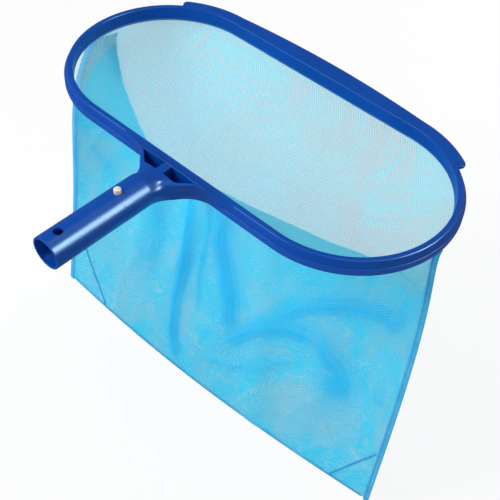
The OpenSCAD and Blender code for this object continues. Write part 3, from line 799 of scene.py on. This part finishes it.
    def panel(self, u, v, side):
        """Points of the near panel, side -1, or the far one, side 1, with the depth of the creases
        and of the slack there."""
        lift = self.normal(u, v) * (self.layer * smoothstep(0, 0.03, v))[..., None]
        p = self.sheet(u, v) + side * lift
        if side < 0:
            p += (self.hem(u, -1) - self.hem(u, 1)) * self.apart(u, v)[..., None]
        loose, fine, tint = self.pinned(u, v), 0 * u, 0 * u
        big = self.folds(u, v, NEAR_FOLDS if side < 0 else FAR_FOLDS)
        if side < 0:
            fine, tint = self.folds(u, v, NEAR_CREASES), self.folds(u, v, NEAR_CREASES, *CREASE_MARK)
        slack = self.crumple(u, v, SLACK_SEED[side])
        amount = big * (1 - np.abs(u) ** 8) + (fine + SLACK_HEIGHT * slack) * loose
        return p + amount[..., None] * [0, side, 0], tint / CREASE_FULL * loose, slack * loose


def two_sided(p, thickness):
    """A sheet's points and faces with its thickness: one skin half way out on each side."""
    rows, columns = p.shape[:2]
    normal = unit(np.cross(np.gradient(p, axis=1), np.gradient(p, axis=0)))
    out, back = p + normal * thickness / 2, p - normal * thickness / 2
    points = np.concatenate([out, back[:, ::-1]], 1).reshape(-1, 3)
    width = 2 * columns
    k = np.arange(columns - 1)
    first = np.stack([k + 1, k, width - 1 - k, width - 2 - k], -1)
    last = np.stack([k, k + 1, width - 2 - k, width - 1 - k], -1) + (rows - 1) * width
    faces = np.concatenate([grid_faces(rows, width, False, True).reshape(-1, 4), first, last])
    return points, faces


def both(values):
    """A sheet's values by point, repeated for its two skins."""
    return np.concatenate([values, values[:, ::-1]], 1).reshape(-1, *values.shape[2:])


def make_panel(bag, side, material):
    """One panel of knitted mesh, with marks that tell its material where it is doubled or creased.

    The near panel hangs gathered, except in a band under the hoop's left end, where it is stretched.
    """
    edge = 1 - SEAM_MARGIN / bag.half
    u, v = np.meshgrid(np.linspace(-edge, edge, 230), np.linspace(0, 1, 170) ** 1.25)
    p, crease, slack = bag.panel(u, v, side)
    points, faces = two_sided(p, bag.thickness)
    touch, band = bag.touch(u), np.interp(u, BAND_U, BAND_V)
    doubled = smoothstep(touch - 0.04, touch + 0.05, v)
    if side < 0:
        stretched = 1 - smoothstep(band - 0.015, band + 0.015, v)
        doubled = np.maximum(doubled, GATHERED) - STRETCHED * stretched
    marks = {"doubled": both(doubled), "crease": both(np.clip(crease, 0, 1)), "slack": both(slack)}
    node = "near_panel" if side < 0 else "far_panel"
    uv = both(bag.flat(u, v) * MM)
    return add_piece(node + "_cloth", points, faces, material, "frame", [node], 180, uv, marks)


def tape(name, centre, across, out, size, material, node, bulge=2.6):
    """A folded tape along a path: a flattened oval section, |x|^bulge + |y|^bulge = 1, whose height
    swells a little between the stitches."""
    width, thickness = size
    angle = turns(20)
    x, y = (np.sign(way) * np.abs(way) ** (2 / bulge) for way in (np.cos(angle), np.sin(angle)))
    run = run_along(centre)
    swell = 1 + PUFF * (np.abs(np.sin(math.pi * run / STITCH_PITCH)) - 0.6)
    p = centre[:, None] + across[:, None] * (x * width / 2)[None, :, None]
    p = p + out[:, None] * (swell[:, None] * y * thickness / 2)[..., None]
    p = np.concatenate([centre[:1, None] + 0 * p[:1], p, centre[-1:, None] + 0 * p[-1:]])
    uv = stacked(run[:, None], angle / (2 * math.pi) * 2 * width) * MM
    uv = np.concatenate([uv[:1], uv, uv[-1:]])
    faces = grid_faces(*p.shape[:2], False, True)
    return add_piece(name, p, faces, material, "frame", [node], 60, uv)


def resampled(line, pitch):
    """Points at equal steps along a line of points, and its direction at each."""
    run = run_along(line)
    at = np.arange(pitch / 2, run[-1], pitch)
    p, ahead = (
        np.stack([np.interp(place, run, line[:, i]) for i in range(3)], -1) for place in (at, at + 0.3)
    )
    return p, unit(ahead - p + 1e-9)


def make_stitches(rows, material):
    """Short threads in a row: each an oval bead, longer than its pitch leaves open, half sunk."""
    turn, station = turns(6), np.linspace(-1, 1, 6)[:, None]
    ring = np.sqrt(1 - station**2)
    bead = (station + 0 * turn, ring * np.cos(turn), ring * np.sin(turn))
    beads = []
    for line, out in rows:
        p, ahead = resampled(line, STITCH_PITCH)
        side = unit(np.cross(ahead, out))
        p = p[:, None, None]
        for way, form, half in zip((ahead, side, unit(np.cross(side, ahead))), bead, STITCH_HALF):
            p = p + way[:, None, None] * (form * half)[None, ..., None]
        beads.append(p)
    points = np.concatenate(beads)
    block = grid_faces(6, 6, False, True).reshape(-1, 4)
    faces = np.arange(len(points))[:, None, None] * 36 + block
    return add_piece("seam_stitches", points, faces, material, "frame", (), 180)


def side_line(bag, side, count=240):
    """Middle line of a side binding, just outside the panels' ends."""
    v = (1 + (HEEL + HEEL_GAP) / bag.depth) * np.linspace(0, 1, count)
    u = np.full(count, float(side))
    lean = np.abs(bag.normal(u, v)[:, 0])
    p = bag.sheet(u, v)
    slanted = (bag.layer + bag.thickness / 2) * lean
    p[:, 0] += side * (TAPE[side] / 2 + SEAM_MARGIN + slanted - TUCK / 2)
    return p


def make_side_binding(bag, side, material):
    """The tape folded over one side seam."""
    node = "left_binding" if side < 0 else "right_binding"
    line, across = side_line(bag, side), np.array([[side, 0, 0]])
    size = (TAPE[side] + TUCK, SIDE_THICKNESS)
    return tape(node + "_tape", line, across, TO_HANDLE, size, material, node)


def bottom_line(bag, count=260):
    """Middle line of the bottom binding, just below the panels."""
    u = (1 + 2 / bag.half) * np.linspace(-1, 1, count)
    return bag.bottom(u) - [0, 0, HEEL / 2 + HEEL_GAP - TUCK / 2]


def make_bottom_binding(bag, material):
    """The tape folded over the bottom seam."""
    line, up, size = bottom_line(bag), np.array([[0, 0, 1.0]]), (HEEL + TUCK, HEEL_THICKNESS)
    return tape("bottom_binding_tape", line, up, TO_HANDLE, size, material, "bottom_binding")


# places (u, v) that each bottom corner's stitched line passes
CORNER_LINES = {
    -1: [
        (-0.985, 0.75), (-0.925, 0.805), (-0.9, 0.85), (-0.855, 0.908), (-0.81, 0.952), (-0.745, 0.992),
    ],
    1: [(0.985, 0.79), (0.93, 0.844), (0.89, 0.888), (0.835, 0.952), (0.795, 0.994)],
}


def corner_line(bag, side, count=60):
    """A bottom corner's stitched line: a parabola over the flat cloth, fitted to its places."""
    q = np.linspace(0, 1, len(CORNER_LINES[side]))
    u, v = (np.polyval(np.polyfit(q, x, 2), np.linspace(0, 1, count)) for x in zip(*CORNER_LINES[side]))
    out = -bag.normal(u, v)
    return bag.panel(u, v, -1)[0] + out * (bag.thickness + 0.1), out


def make_corner_seam(bag, side, material):
    """The flat seam across a bottom corner."""
    line, out = corner_line(bag, side)
    across = unit(np.cross(np.gradient(line, axis=0), out))
    node = "left_corner_seam" if side < 0 else "right_corner_seam"
    return tape(node + "_cloth", line, across, out, CORNER_SEAM, material, node, 2.2)


CORD_AT = np.array([3.45, -4.2])    # the cord's middle: outward from the mouth's edge, and up
LEAVES = (2.14, 1.86)               # the hem tape's two leaves, outward from the mouth's edge
TAPE_LOOP = 1.6                     # radius of the tape round the cord
TAPE_CLOTH = 0.22                   # its thickness
LOOP_FROM, LOOP_TURN = 215, 342     # degrees at which the loop starts, and through which it goes


def make_hem_tape(hoop, material):
    """The hem tape: its middle line goes up one leaf, round the cord and down the other leaf."""
    angle = np.radians(np.linspace(LOOP_FROM, LOOP_FROM + LOOP_TURN, 34))
    loop = CORD_AT + TAPE_LOOP * np.stack([np.cos(angle), np.sin(angle)], -1)
    up = np.linspace(-16, -6, 9)
    middle = np.concatenate([stacked(LEAVES[0], up), loop, stacked(LEAVES[1], up[::-1])])
    side = unit(np.gradient(middle, axis=0))[:, ::-1] * [1, -1] * TAPE_CLOTH / 2
    section = np.concatenate([middle + side, (middle - side)[::-1]])
    t = even_path()
    run = run_along(hoop.sweep(t, np.broadcast_to(section[:1], (len(t), 1, 2)))[:, 0])
    uv = stacked(run[:, None], run_along(section)) * MM
    return swept("hem_tape", hoop, t, section, material, ["hem_band"], 60, uv)


def make_hem_cord(hoop, material):
    """The cord in the hem: three strands, radius 1.22 + 0.16 |cos(1.5 (angle - twist))|."""
    t, angle = even_path(), turns(24)
    twist = np.arange(len(t)) * 0.35
    r = 1.22 + 0.16 * np.abs(np.cos(1.5 * (angle - twist[:, None])))
    section = CORD_AT + r[..., None] * np.stack([np.cos(angle), np.sin(angle)], -1)
    return swept("hem_cord_strands", hoop, t, section, material, ["hem_cord"])


# ---- clip ------------------------------------------------------------------------------

BUTTON_ROUNDING = 1.8               # radius of the button's top edge
BUTTON_DOME = 0.2                   # rise of its top inside that


def make_button(side, clip, moulding, material):
    """A push button: its profile turned about an upright axis, with a rounded edge and a top that
    falls with the square of the distance from its middle."""
    radius, top = clip.button_diameter / MM / 2, clip.button_top / MM
    foot = low("upper_button")[2]
    bend, crown = np.linspace(0, math.pi / 2, 8), np.linspace(1, 0, 6)[1:]
    flat = radius - BUTTON_ROUNDING
    r = np.concatenate([[0, radius, radius], flat + BUTTON_ROUNDING * np.cos(bend), flat * crown])
    edge = top - BUTTON_DOME - BUTTON_ROUNDING + BUTTON_ROUNDING * np.sin(bend)
    z = np.concatenate([[foot, foot, foot + 1], edge, top - BUTTON_DOME * crown**2])
    r, z, angle = r[:, None], z[:, None], turns(40)
    points = stacked(r * np.cos(angle), moulding.button_hole / MM + r * np.sin(angle), side * z)
    faces = grid_faces(*points.shape[:2], False, True)
    which = "upper" if side > 0 else "lower"
    name, body, node = which + "_button_cap", which + "_clip", which + "_button"
    return add_piece(name, points, faces, material, body, [node])


# ---- materials -------------------------------------------------------------------------

WAVE = math.pi / 10                 # scale of a Wave texture whose bands are a metre apart
COLOUR_MIX = {"data_type": "RGBA", "out": 2}          # a Mix node for colours, and its output


def add(tree, kind, inputs=(), out=0, **settings):
    """Adds a shader node with its settings, sets or links its inputs, given in order or by place
    or name, and gives one of its outputs."""
    made = tree.nodes.new("ShaderNode" + kind)
    for key, value in settings.items():
        setattr(made, key, value)
    for key, value in inputs.items() if isinstance(inputs, dict) else enumerate(inputs):
        if isinstance(value, bpy.types.NodeSocket):
            tree.links.new(value, made.inputs[key])
        else:
            made.inputs[key].default_value = value
    return made.outputs[out] if made.outputs else made


def new_material(name):
    """An empty node material, and its tree."""
    material = bpy.data.materials.new(name)
    material.use_nodes = True
    material.node_tree.nodes.clear()
    return material, material.node_tree


def shade(rgb, amount=0.0):
    """A colour as a node takes it, lightened towards white, or darkened for a negative amount."""
    rgb = np.array(rgb)
    return (*(rgb + (1 - rgb) * amount if amount > 0 else rgb * (1 + amount)), 1.0)


def moulded_polypropylene(name, rgb, roughness):
    """Moulded polypropylene: an even colour under a soft shine, with the faint ripple and flow
    marks that a mould's face leaves."""
    material, tree = new_material(name)
    at = add(tree, "TexCoord", out="Object")
    # flow marks about 60 mm long, and orange peel of 1.6 mm
    flow = add(tree, "TexNoise", {"Vector": at, "Scale": 16.0, "Detail": 3.0})
    peel = add(tree, "TexNoise", {"Vector": at, "Scale": 620.0, "Detail": 2.0})
    share = add(tree, "MapRange", [flow, 0.35, 0.65, 0, 1])
    tone = add(tree, "Mix", {0: share, 6: shade(rgb, -0.1), 7: shade(rgb, -0.01)}, **COLOUR_MIX)
    surface = add(tree, "BsdfPrincipled", {
        "Base Color": tone,
        "Roughness": add(tree, "MapRange", [flow, 0.3, 0.7, roughness - 0.03, roughness + 0.04]),
        "IOR": 1.49, "Specular Tint": shade(linear("#B4E0FF")),
        "Normal": add(tree, "Bump", {"Height": peel, "Strength": 0.12, "Distance": 0.0001}),
    })
    add(tree, "OutputMaterial", [surface])
    return material


def knitted_mesh(name, rgb, deep, pale):
    """Warp-knitted polyester mesh: fine open diamonds that let light through from both sides, so
    one layer is pale, two are deep, and folds deeper still. Where two layers lie on each other
    their diamonds beat in pale swirling lines. The real pitch of 0.8 mm is drawn at 2.1 mm."""
    material, tree = new_material(name)
    pitch = 0.0021
    place = add(tree, "UVMap", uv_map="Cloth")
    turned = add(tree, "Mapping", {"Vector": place, "Rotation": (0, 0, math.radians(38))})
    yarn = add(tree, "Math", [
        add(tree, "TexWave", {"Vector": turned, "Scale": WAVE / pitch}, "Fac", bands_direction=way)
        for way in ("X", "Y")
    ], operation="MAXIMUM")
    doubled, crease, slack = (
        add(tree, "Attribute", out="Fac", attribute_name=key) for key in ("doubled", "crease", "slack")
    )
    # clouds of 90 mm and of 35 mm, where more or less light comes through the layers
    cloud, patch = (
        add(tree, "TexNoise", {"Vector": place, "Scale": size, "Detail": 4.0, "Distortion": 1.0})
        for size in (11.0, 28.0)
    )
    # the beat between two layers: level lines, about 3 mm apart, of a slow wave drawn out across
    drawn = add(tree, "Mapping", {"Vector": place, "Rotation": (0, 0, -0.35), "Scale": (0.6, 1.5, 1)})
    slow = add(tree, "TexNoise", {"Vector": drawn, "Scale": 12.0, "Detail": 2.0, "Distortion": 2.0})
    level = add(tree, "Math", [slow, 24.0], operation="MULTIPLY")
    beat = add(tree, "Math", [level, 0.5], operation="PINGPONG")
    bare = add(tree, "Math", [doubled, crease], operation="SUBTRACT", use_clamp=True)
    single = add(tree, "Math", [1.0, doubled], operation="SUBTRACT")
    across, down = (add(tree, "SeparateXYZ", [place], way) for way in "XY")
    # colours laid over the yarn's own, each with the factors of its share: a number, a value, or a
    # value with the range that it is mapped from and to. A single layer is pale, and paler to the
    # right, and the hanging cloth lies flatter, and beats more, further down.
    layers = (
        (shade(pale, -0.2), single, 0.3),
        (shade(pale, -0.06), (cloud, 0.42, 0.66, 0.06, 0.5), bare),
        (shade(pale, -0.25), (cloud, 0.36, 0.6, 0.75, 0.1), (across, -0.15, 0.1, 0.25, 1), single),
        (shade(pale), (slack, 0.8, 2.3, 0, 0.45), bare),
        (shade(pale, 0.2), (patch, 0.38, 0.54, 0.15, 1), bare, (down, 0.08, 0.26, 0.15, 0.75),
         (beat, 0.2, 0.5, 0, 0.85)),
        (shade(deep), (patch, 0.3, 0.7, 0.65, 1.15), crease),
    )
    tone = shade(rgb)
    for tint, *factors in layers:
        share = 1.0
        for factor in factors:
            factor = add(tree, "MapRange", factor) if isinstance(factor, tuple) else factor
            share = add(tree, "Math", [share, factor], operation="MULTIPLY")
        tone = add(tree, "Mix", {0: share, 6: tone, 7: tint}, **COLOUR_MIX)
    # share of light that one skin stops: less between the yarns than on them, and more where the
    # cloth is doubled or creased
    cover = add(tree, "MapRange", [yarn, 0.3, 0.9, 0.28, 0.5])
    by_layers = add(tree, "Math", [doubled, 0.15], operation="MULTIPLY")
    by_crease = add(tree, "MapRange", [crease, 0, 1, 0, 0.12])
    more = add(tree, "Math", [by_layers, by_crease], operation="ADD")
    alpha = add(tree, "Math", [cover, more], operation="ADD", use_clamp=True)
    normal = add(tree, "Bump", {"Height": yarn, "Strength": 0.2, "Distance": 0.0002})
    front = add(tree, "BsdfPrincipled", {
        "Base Color": tone, "Roughness": 0.7, "IOR": 1.5, "Normal": normal, "Specular IOR Level": 0.2,
    })
    through = add(tree, "BsdfTranslucent", {"Color": tone, "Normal": normal})
    yarns = add(tree, "MixShader", [0.5, front, through])
    holes = add(tree, "BsdfTransparent")
    add(tree, "OutputMaterial", [add(tree, "MixShader", [alpha, holes, yarns])])
    return material


def woven_tape(name, rgb):
    """Woven polyester tape: close ribs across it, with a slight sheen. The 0.4 mm ribs are drawn at
    1.2 mm, which still shows, and the warp between them at 0.8 mm."""
    material, tree = new_material(name)
    place = add(tree, "UVMap", uv_map="Cloth")
    ribs = {"Vector": place, "Scale": WAVE / 0.0012, "Distortion": 0.3}
    weave = add(tree, "Math", [
        add(tree, "TexWave", ribs, "Fac", bands_direction="X"),
        add(tree, "TexWave", {"Vector": place, "Scale": WAVE / 0.0008}, "Fac", bands_direction="Y"),
    ], operation="MULTIPLY")
    cloud = add(tree, "TexNoise", {"Vector": place, "Scale": 60.0, "Detail": 2.0})
    faded = add(tree, "MapRange", [cloud, 0.35, 0.65, 0, 0.5])
    tone = add(tree, "Mix", {0: weave, 6: shade(rgb, -0.14), 7: shade(rgb, 0.04)}, **COLOUR_MIX)
    tone = add(tree, "Mix", {0: faded, 6: tone, 7: shade(rgb, 0.1)}, **COLOUR_MIX)
    surface = add(tree, "BsdfPrincipled", {
        "Base Color": tone, "Roughness": 0.75, "IOR": 1.5, "Sheen Weight": 0.1,
        "Normal": add(tree, "Bump", {"Height": weave, "Strength": 0.5, "Distance": 0.0002}),
    })
    add(tree, "OutputMaterial", [surface])
    return material


def twisted_thread(name, rgb):
    """Twisted polyester: fine slanted strands with a soft shine, drawn at a pitch of 0.6 mm."""
    material, tree = new_material(name)
    at = add(tree, "TexCoord", out="Object")
    slant = add(tree, "Mapping", {"Vector": at, "Rotation": (0.6, 0.5, 0.7)})
    strand = add(tree, "TexWave", {"Vector": slant, "Scale": WAVE / 0.0006, "Distortion": 0.5}, "Fac")
    tone = add(tree, "Mix", {0: strand, 6: shade(rgb, -0.25), 7: shade(rgb, 0.12)}, **COLOUR_MIX)
    surface = add(tree, "BsdfPrincipled", {
        "Base Color": tone, "Roughness": 0.5, "IOR": 1.5,
        "Normal": add(tree, "Bump", {"Height": strand, "Strength": 0.4, "Distance": 0.0001}),
    })
    add(tree, "OutputMaterial", [surface])
    return material


def moulded_acetal(name, rgb):
    """Moulded acetal: white, close-grained and slippery, with a low shine and a little depth."""
    material, tree = new_material(name)
    at = add(tree, "TexCoord", out="Object")
    grain = add(tree, "TexNoise", {"Vector": at, "Scale": 900.0, "Detail": 2.0})
    share = add(tree, "MapRange", [grain, 0.3, 0.7, 0, 1])
    tone = add(tree, "Mix", {0: share, 6: shade(rgb, -0.05), 7: shade(rgb)}, **COLOUR_MIX)
    surface = add(tree, "BsdfPrincipled", {
        "Base Color": tone, "Roughness": 0.35, "IOR": 1.48,
        "Subsurface Weight": 0.1, "Subsurface Scale": 0.002,
        "Normal": add(tree, "Bump", {"Height": grain, "Strength": 0.08, "Distance": 0.0001}),
    })
    add(tree, "OutputMaterial", [surface])
    return material


# ---- operators -------------------------------------------------------------------------


def settings(context):
    """The scene's settings for moulding, bag, clip and stage."""
    scene = context.scene
    return scene.skimmer_moulding, scene.skimmer_bag, scene.skimmer_clip, scene.skimmer_stage


class SKIMMER_OT_moulding(bpy.types.Operator):
    """Make the blue frame moulding: rim with scoop lip, handle and yoke"""

    bl_idname = "skimmer.moulding"
    bl_label = "Frame moulding"

    def execute(self, context):
        moulding = settings(context)[0]
        hoop = Hoop(moulding)
        material = moulded_polypropylene("moulded_polypropylene_frame", moulding.moulding_colour, 0.31)
        make_rim(hoop, moulding, material)
        make_handle(hoop, moulding, material)
        return {"FINISHED"}


class SKIMMER_OT_snap_ring(bpy.types.Operator):
    """Make the snap ring that holds the bag under the rim"""

    bl_idname = "skimmer.snap_ring"
    bl_label = "Snap ring"

    def execute(self, context):
        moulding = settings(context)[0]
        # painted light: a lighter blue than the frame's, which makes up for the shade under the rim
        material = moulded_polypropylene("moulded_polypropylene_ring", moulding.ring_lightened_colour, 0.33)
        make_ring(Hoop(moulding), material)
        return {"FINISHED"}


class SKIMMER_OT_hem(bpy.types.Operator):
    """Make the hem: the tape round the mouth and the cord in it"""

    bl_idname = "skimmer.hem"
    bl_label = "Hem"

    def execute(self, context):
        moulding, bag = settings(context)[:2]
        hoop = Hoop(moulding)
        make_hem_tape(hoop, woven_tape("woven_polyester_hem", bag.hem_colour))
        make_hem_cord(hoop, twisted_thread("twisted_polyester_cord", bag.cord_colour))
        return {"FINISHED"}


class SKIMMER_OT_bag(bpy.types.Operator):
    """Make the mesh bag: two panels, their bindings, corner seams and stitches"""

    bl_idname = "skimmer.bag"
    bl_label = "Mesh bag"

    def execute(self, context):
        moulding, looks = settings(context)[:2]
        bag = Bag(moulding, looks, Hoop(moulding))
        tints = (looks.mesh_colour, looks.fold_colour, looks.beat_colour)
        mesh = knitted_mesh("knitted_polyester_mesh", *tints)
        ribbon = woven_tape("woven_polyester_binding", looks.binding_colour)
        thread = twisted_thread("twisted_polyester_thread", looks.thread_colour)
        near, far = make_panel(bag, -1, mesh), make_panel(bag, 1, mesh)
        tapes = [make_side_binding(bag, -1, ribbon), make_side_binding(bag, 1, ribbon)]
        tapes.append(make_bottom_binding(bag, ribbon))
        seams = [make_corner_seam(bag, side, ribbon) for side in (-1, 1)]
        # a row of stitches on each face of every tape, beside the cloth's end, and on each corner seam
        insets = {side: side * (STITCH_INSET - TAPE[side] / 2) for side in (-1, 1)}
        lines = [side_line(bag, side) + [inset, 0, 0] for side, inset in insets.items()]
        lines.append(bottom_line(bag) + [0, 0, STITCH_RAISED])
        faces = (TO_HANDLE, -TO_HANDLE)
        rows = [(line + out * STITCH_OUT, out) for line in lines for out in faces]
        for line, out in (corner_line(bag, side) for side in (-1, 1)):
            rows.append((line + out * SEAM_STITCH_OUT, TO_HANDLE))
        stitches = make_stitches(rows, thread)
        return {"FINISHED"}


class SKIMMER_OT_clip(bpy.types.Operator):
    """Make the spring clip: finish its bow and legs, and cap them with round buttons"""

    bl_idname = "skimmer.clip"
    bl_label = "Spring clip"

    def execute(self, context):
        moulding, _, clip, _ = settings(context)
        material = moulded_acetal("moulded_acetal_clip", clip.clip_colour)
        for side in (1, -1):
            make_button(side, clip, moulding, material)
        for node in ("clip_bow", "upper_leg", "lower_leg"):
            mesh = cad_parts[node].data
            mesh.materials.clear()
            mesh.materials.append(material)
        return {"FINISHED"}


STRIP_AXIS = (-0.449, -0.353, 0.821)    # the strip light leans, so its shine runs along the handle
UPRIGHT = (0.1, 0.2, 1.0)
# each light's width and height in metres, watts, place, what it is aimed at, and its long side's axis
LIGHTS = {
    "key_light": ((0.9, 0.9), 25.0, (-0.9, -1.05, 1.15), (0, 0.2, -0.15), UPRIGHT),
    "top_light": ((0.9, 0.9), 5.0, (0.1, 0.4, 1.7), (0, 0.2, -0.1), UPRIGHT),
    "back_light": ((1.2, 0.7), 5.0, (0.2, 1.5, 0.1), (0, 0.25, -0.2), UPRIGHT),
    "strip_light": ((0.34, 0.8), 46.0, (1.11, 0.68, 0.77), (0, 0.05, 0), STRIP_AXIS),
}
SKY = (0.42, 0.12)                      # the sky's strength for diffuse light and in reflections
PAPER_GLOW = 0.85                       # how much of the floor the camera sees as plain white
FLOOR_HALF = 12                         # half the floor's side, in metres
WHITE = (1, 1, 1, 1)
CAMERA_AT = (0.39828, -0.23992, 0.51137)
# the camera's own right, up and backward
CAMERA_AXES = (
    (0.734552, 0.676900, 0.047319),
    (-0.528890, 0.527457, 0.664879),
    (0.425098, -0.513415, 0.745451),
)


def staged(name, data, axes=None, at=(0, 0, 0)):
    """An object of the stage, turned to its own three axes and put in its place."""
    made = bpy.data.objects.new(name, data)
    bpy.context.scene.collection.objects.link(made)
    if axes is not None:
        made.matrix_world = Matrix([*np.column_stack([*axes, at]).tolist(), [0, 0, 0, 1]])
    return made


def make_floor(rgb):
    """Paper that the camera sees nearly white, with the object's shadow left in it."""
    mesh = bpy.data.meshes.new("stage_floor")
    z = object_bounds()[0][2] - 0.001
    corners = [(x * FLOOR_HALF, y * FLOOR_HALF, z) for x, y in ((-1, -1), (1, -1), (1, 1), (-1, 1))]
    mesh.from_pydata(corners, [], [(0, 1, 2, 3)])
    material, tree = new_material("matt_paper_floor")
    seen = add(tree, "LightPath", out="Is Camera Ray")
    share = add(tree, "Math", [seen, PAPER_GLOW], operation="MULTIPLY")
    lit = add(tree, "BsdfDiffuse", {"Color": shade(rgb)})
    glow = add(tree, "Emission", {"Color": WHITE, "Strength": 1.0})
    add(tree, "OutputMaterial", [add(tree, "MixShader", [share, lit, glow])])
    mesh.materials.append(material)
    floor = staged("stage_floor", mesh)
    floor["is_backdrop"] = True
    return floor


def make_sky():
    """A plain sky: white for the camera, and dimmer for light and reflections."""
    world = bpy.data.worlds.new("studio_sky")
    world.use_nodes = True
    tree = world.node_tree
    tree.nodes.clear()
    dim = add(tree, "MapRange", [add(tree, "LightPath", out="Is Glossy Ray"), 0, 1, *SKY])
    seen = add(tree, "LightPath", out="Is Camera Ray")
    strength = add(tree, "Math", [seen, dim], operation="MAXIMUM")
    add(tree, "OutputWorld", [add(tree, "Background", [WHITE, strength])])
    return world


def make_light(name, size, watts, at, towards, long_axis):
    """A soft rectangular light, aimed at a point, with its long side near an axis."""
    lamp = bpy.data.lights.new(name, "AREA")
    lamp.shape, lamp.size, lamp.size_y, lamp.energy = "RECTANGLE", size[0], size[1], watts
    back = unit(np.array(at) - np.array(towards))
    side = unit(np.cross(long_axis, back))
    return staged(name, lamp, [side, np.cross(back, side), back], at)


class SKIMMER_OT_stage(bpy.types.Operator):
    """Make the stage: floor, soft lights, sky and camera"""

    bl_idname = "skimmer.stage"
    bl_label = "Stage"

    def execute(self, context):
        looks, scene = settings(context)[3], context.scene
        floor = make_floor(looks.floor_colour)
        scene.world = make_sky()
        lights = {name: make_light(name, *facts) for name, facts in LIGHTS.items()}
        strip, back = lights["strip_light"], lights["back_light"]
        # the strip only shines on gloss, and the floor and the back light are kept out of it
        strip.visible_diffuse = strip.visible_transmission = False
        floor.visible_glossy = back.visible_glossy = False
        camera = bpy.data.cameras.new("camera")
        camera.lens, camera.sensor_width = looks.lens, 36
        camera.clip_start, camera.clip_end = 0.01, 50
        scene.camera = staged("camera", camera, CAMERA_AXES, CAMERA_AT)
        scene.view_settings.view_transform = "Standard"
        return {"FINISHED"}


class SKIMMER_PT_panel(bpy.types.Panel):
    """Lists the pieces of the skimmer"""

    bl_idname = "SKIMMER_PT_panel"
    bl_label = "Leaf Skimmer Net"
    bl_space_type = "VIEW_3D"
    bl_region_type = "UI"
    bl_category = "Skimmer"

    def draw(self, context):
        for operator in OPERATORS:
            self.layout.operator(operator.bl_idname)
        for group in settings(context):
            box = self.layout.box()
            for key in group.bl_rna.properties.keys():
                if key not in ("rna_type", "name"):
                    box.prop(group, key)


SETTINGS = {
    "skimmer_moulding": SkimmerMouldingSettings,
    "skimmer_bag": SkimmerBagSettings,
    "skimmer_clip": SkimmerClipSettings,
    "skimmer_stage": SkimmerStageSettings,
}
OPERATORS = (
    SKIMMER_OT_moulding, SKIMMER_OT_snap_ring, SKIMMER_OT_hem, SKIMMER_OT_bag, SKIMMER_OT_clip,
    SKIMMER_OT_stage,
)


def register():
    """Adds the classes to Blender, and the settings to its scenes."""
    for item in (*SETTINGS.values(), *OPERATORS, SKIMMER_PT_panel):
        bpy.utils.register_class(item)
    for key, group in SETTINGS.items():
        setattr(bpy.types.Scene, key, bpy.props.PointerProperty(type=group))


def unregister():
    """Takes away what register adds."""
    for key in SETTINGS:
        delattr(bpy.types.Scene, key)
    for item in reversed((*SETTINGS.values(), *OPERATORS, SKIMMER_PT_panel)):
        bpy.utils.unregister_class(item)


def main():
    """Makes the whole skimmer and its stage."""
    register()
    for operator in OPERATORS:
        name = operator.bl_idname.split(".")[1]
        getattr(bpy.ops.skimmer, name)()


if __name__ == "__main__":
    main()
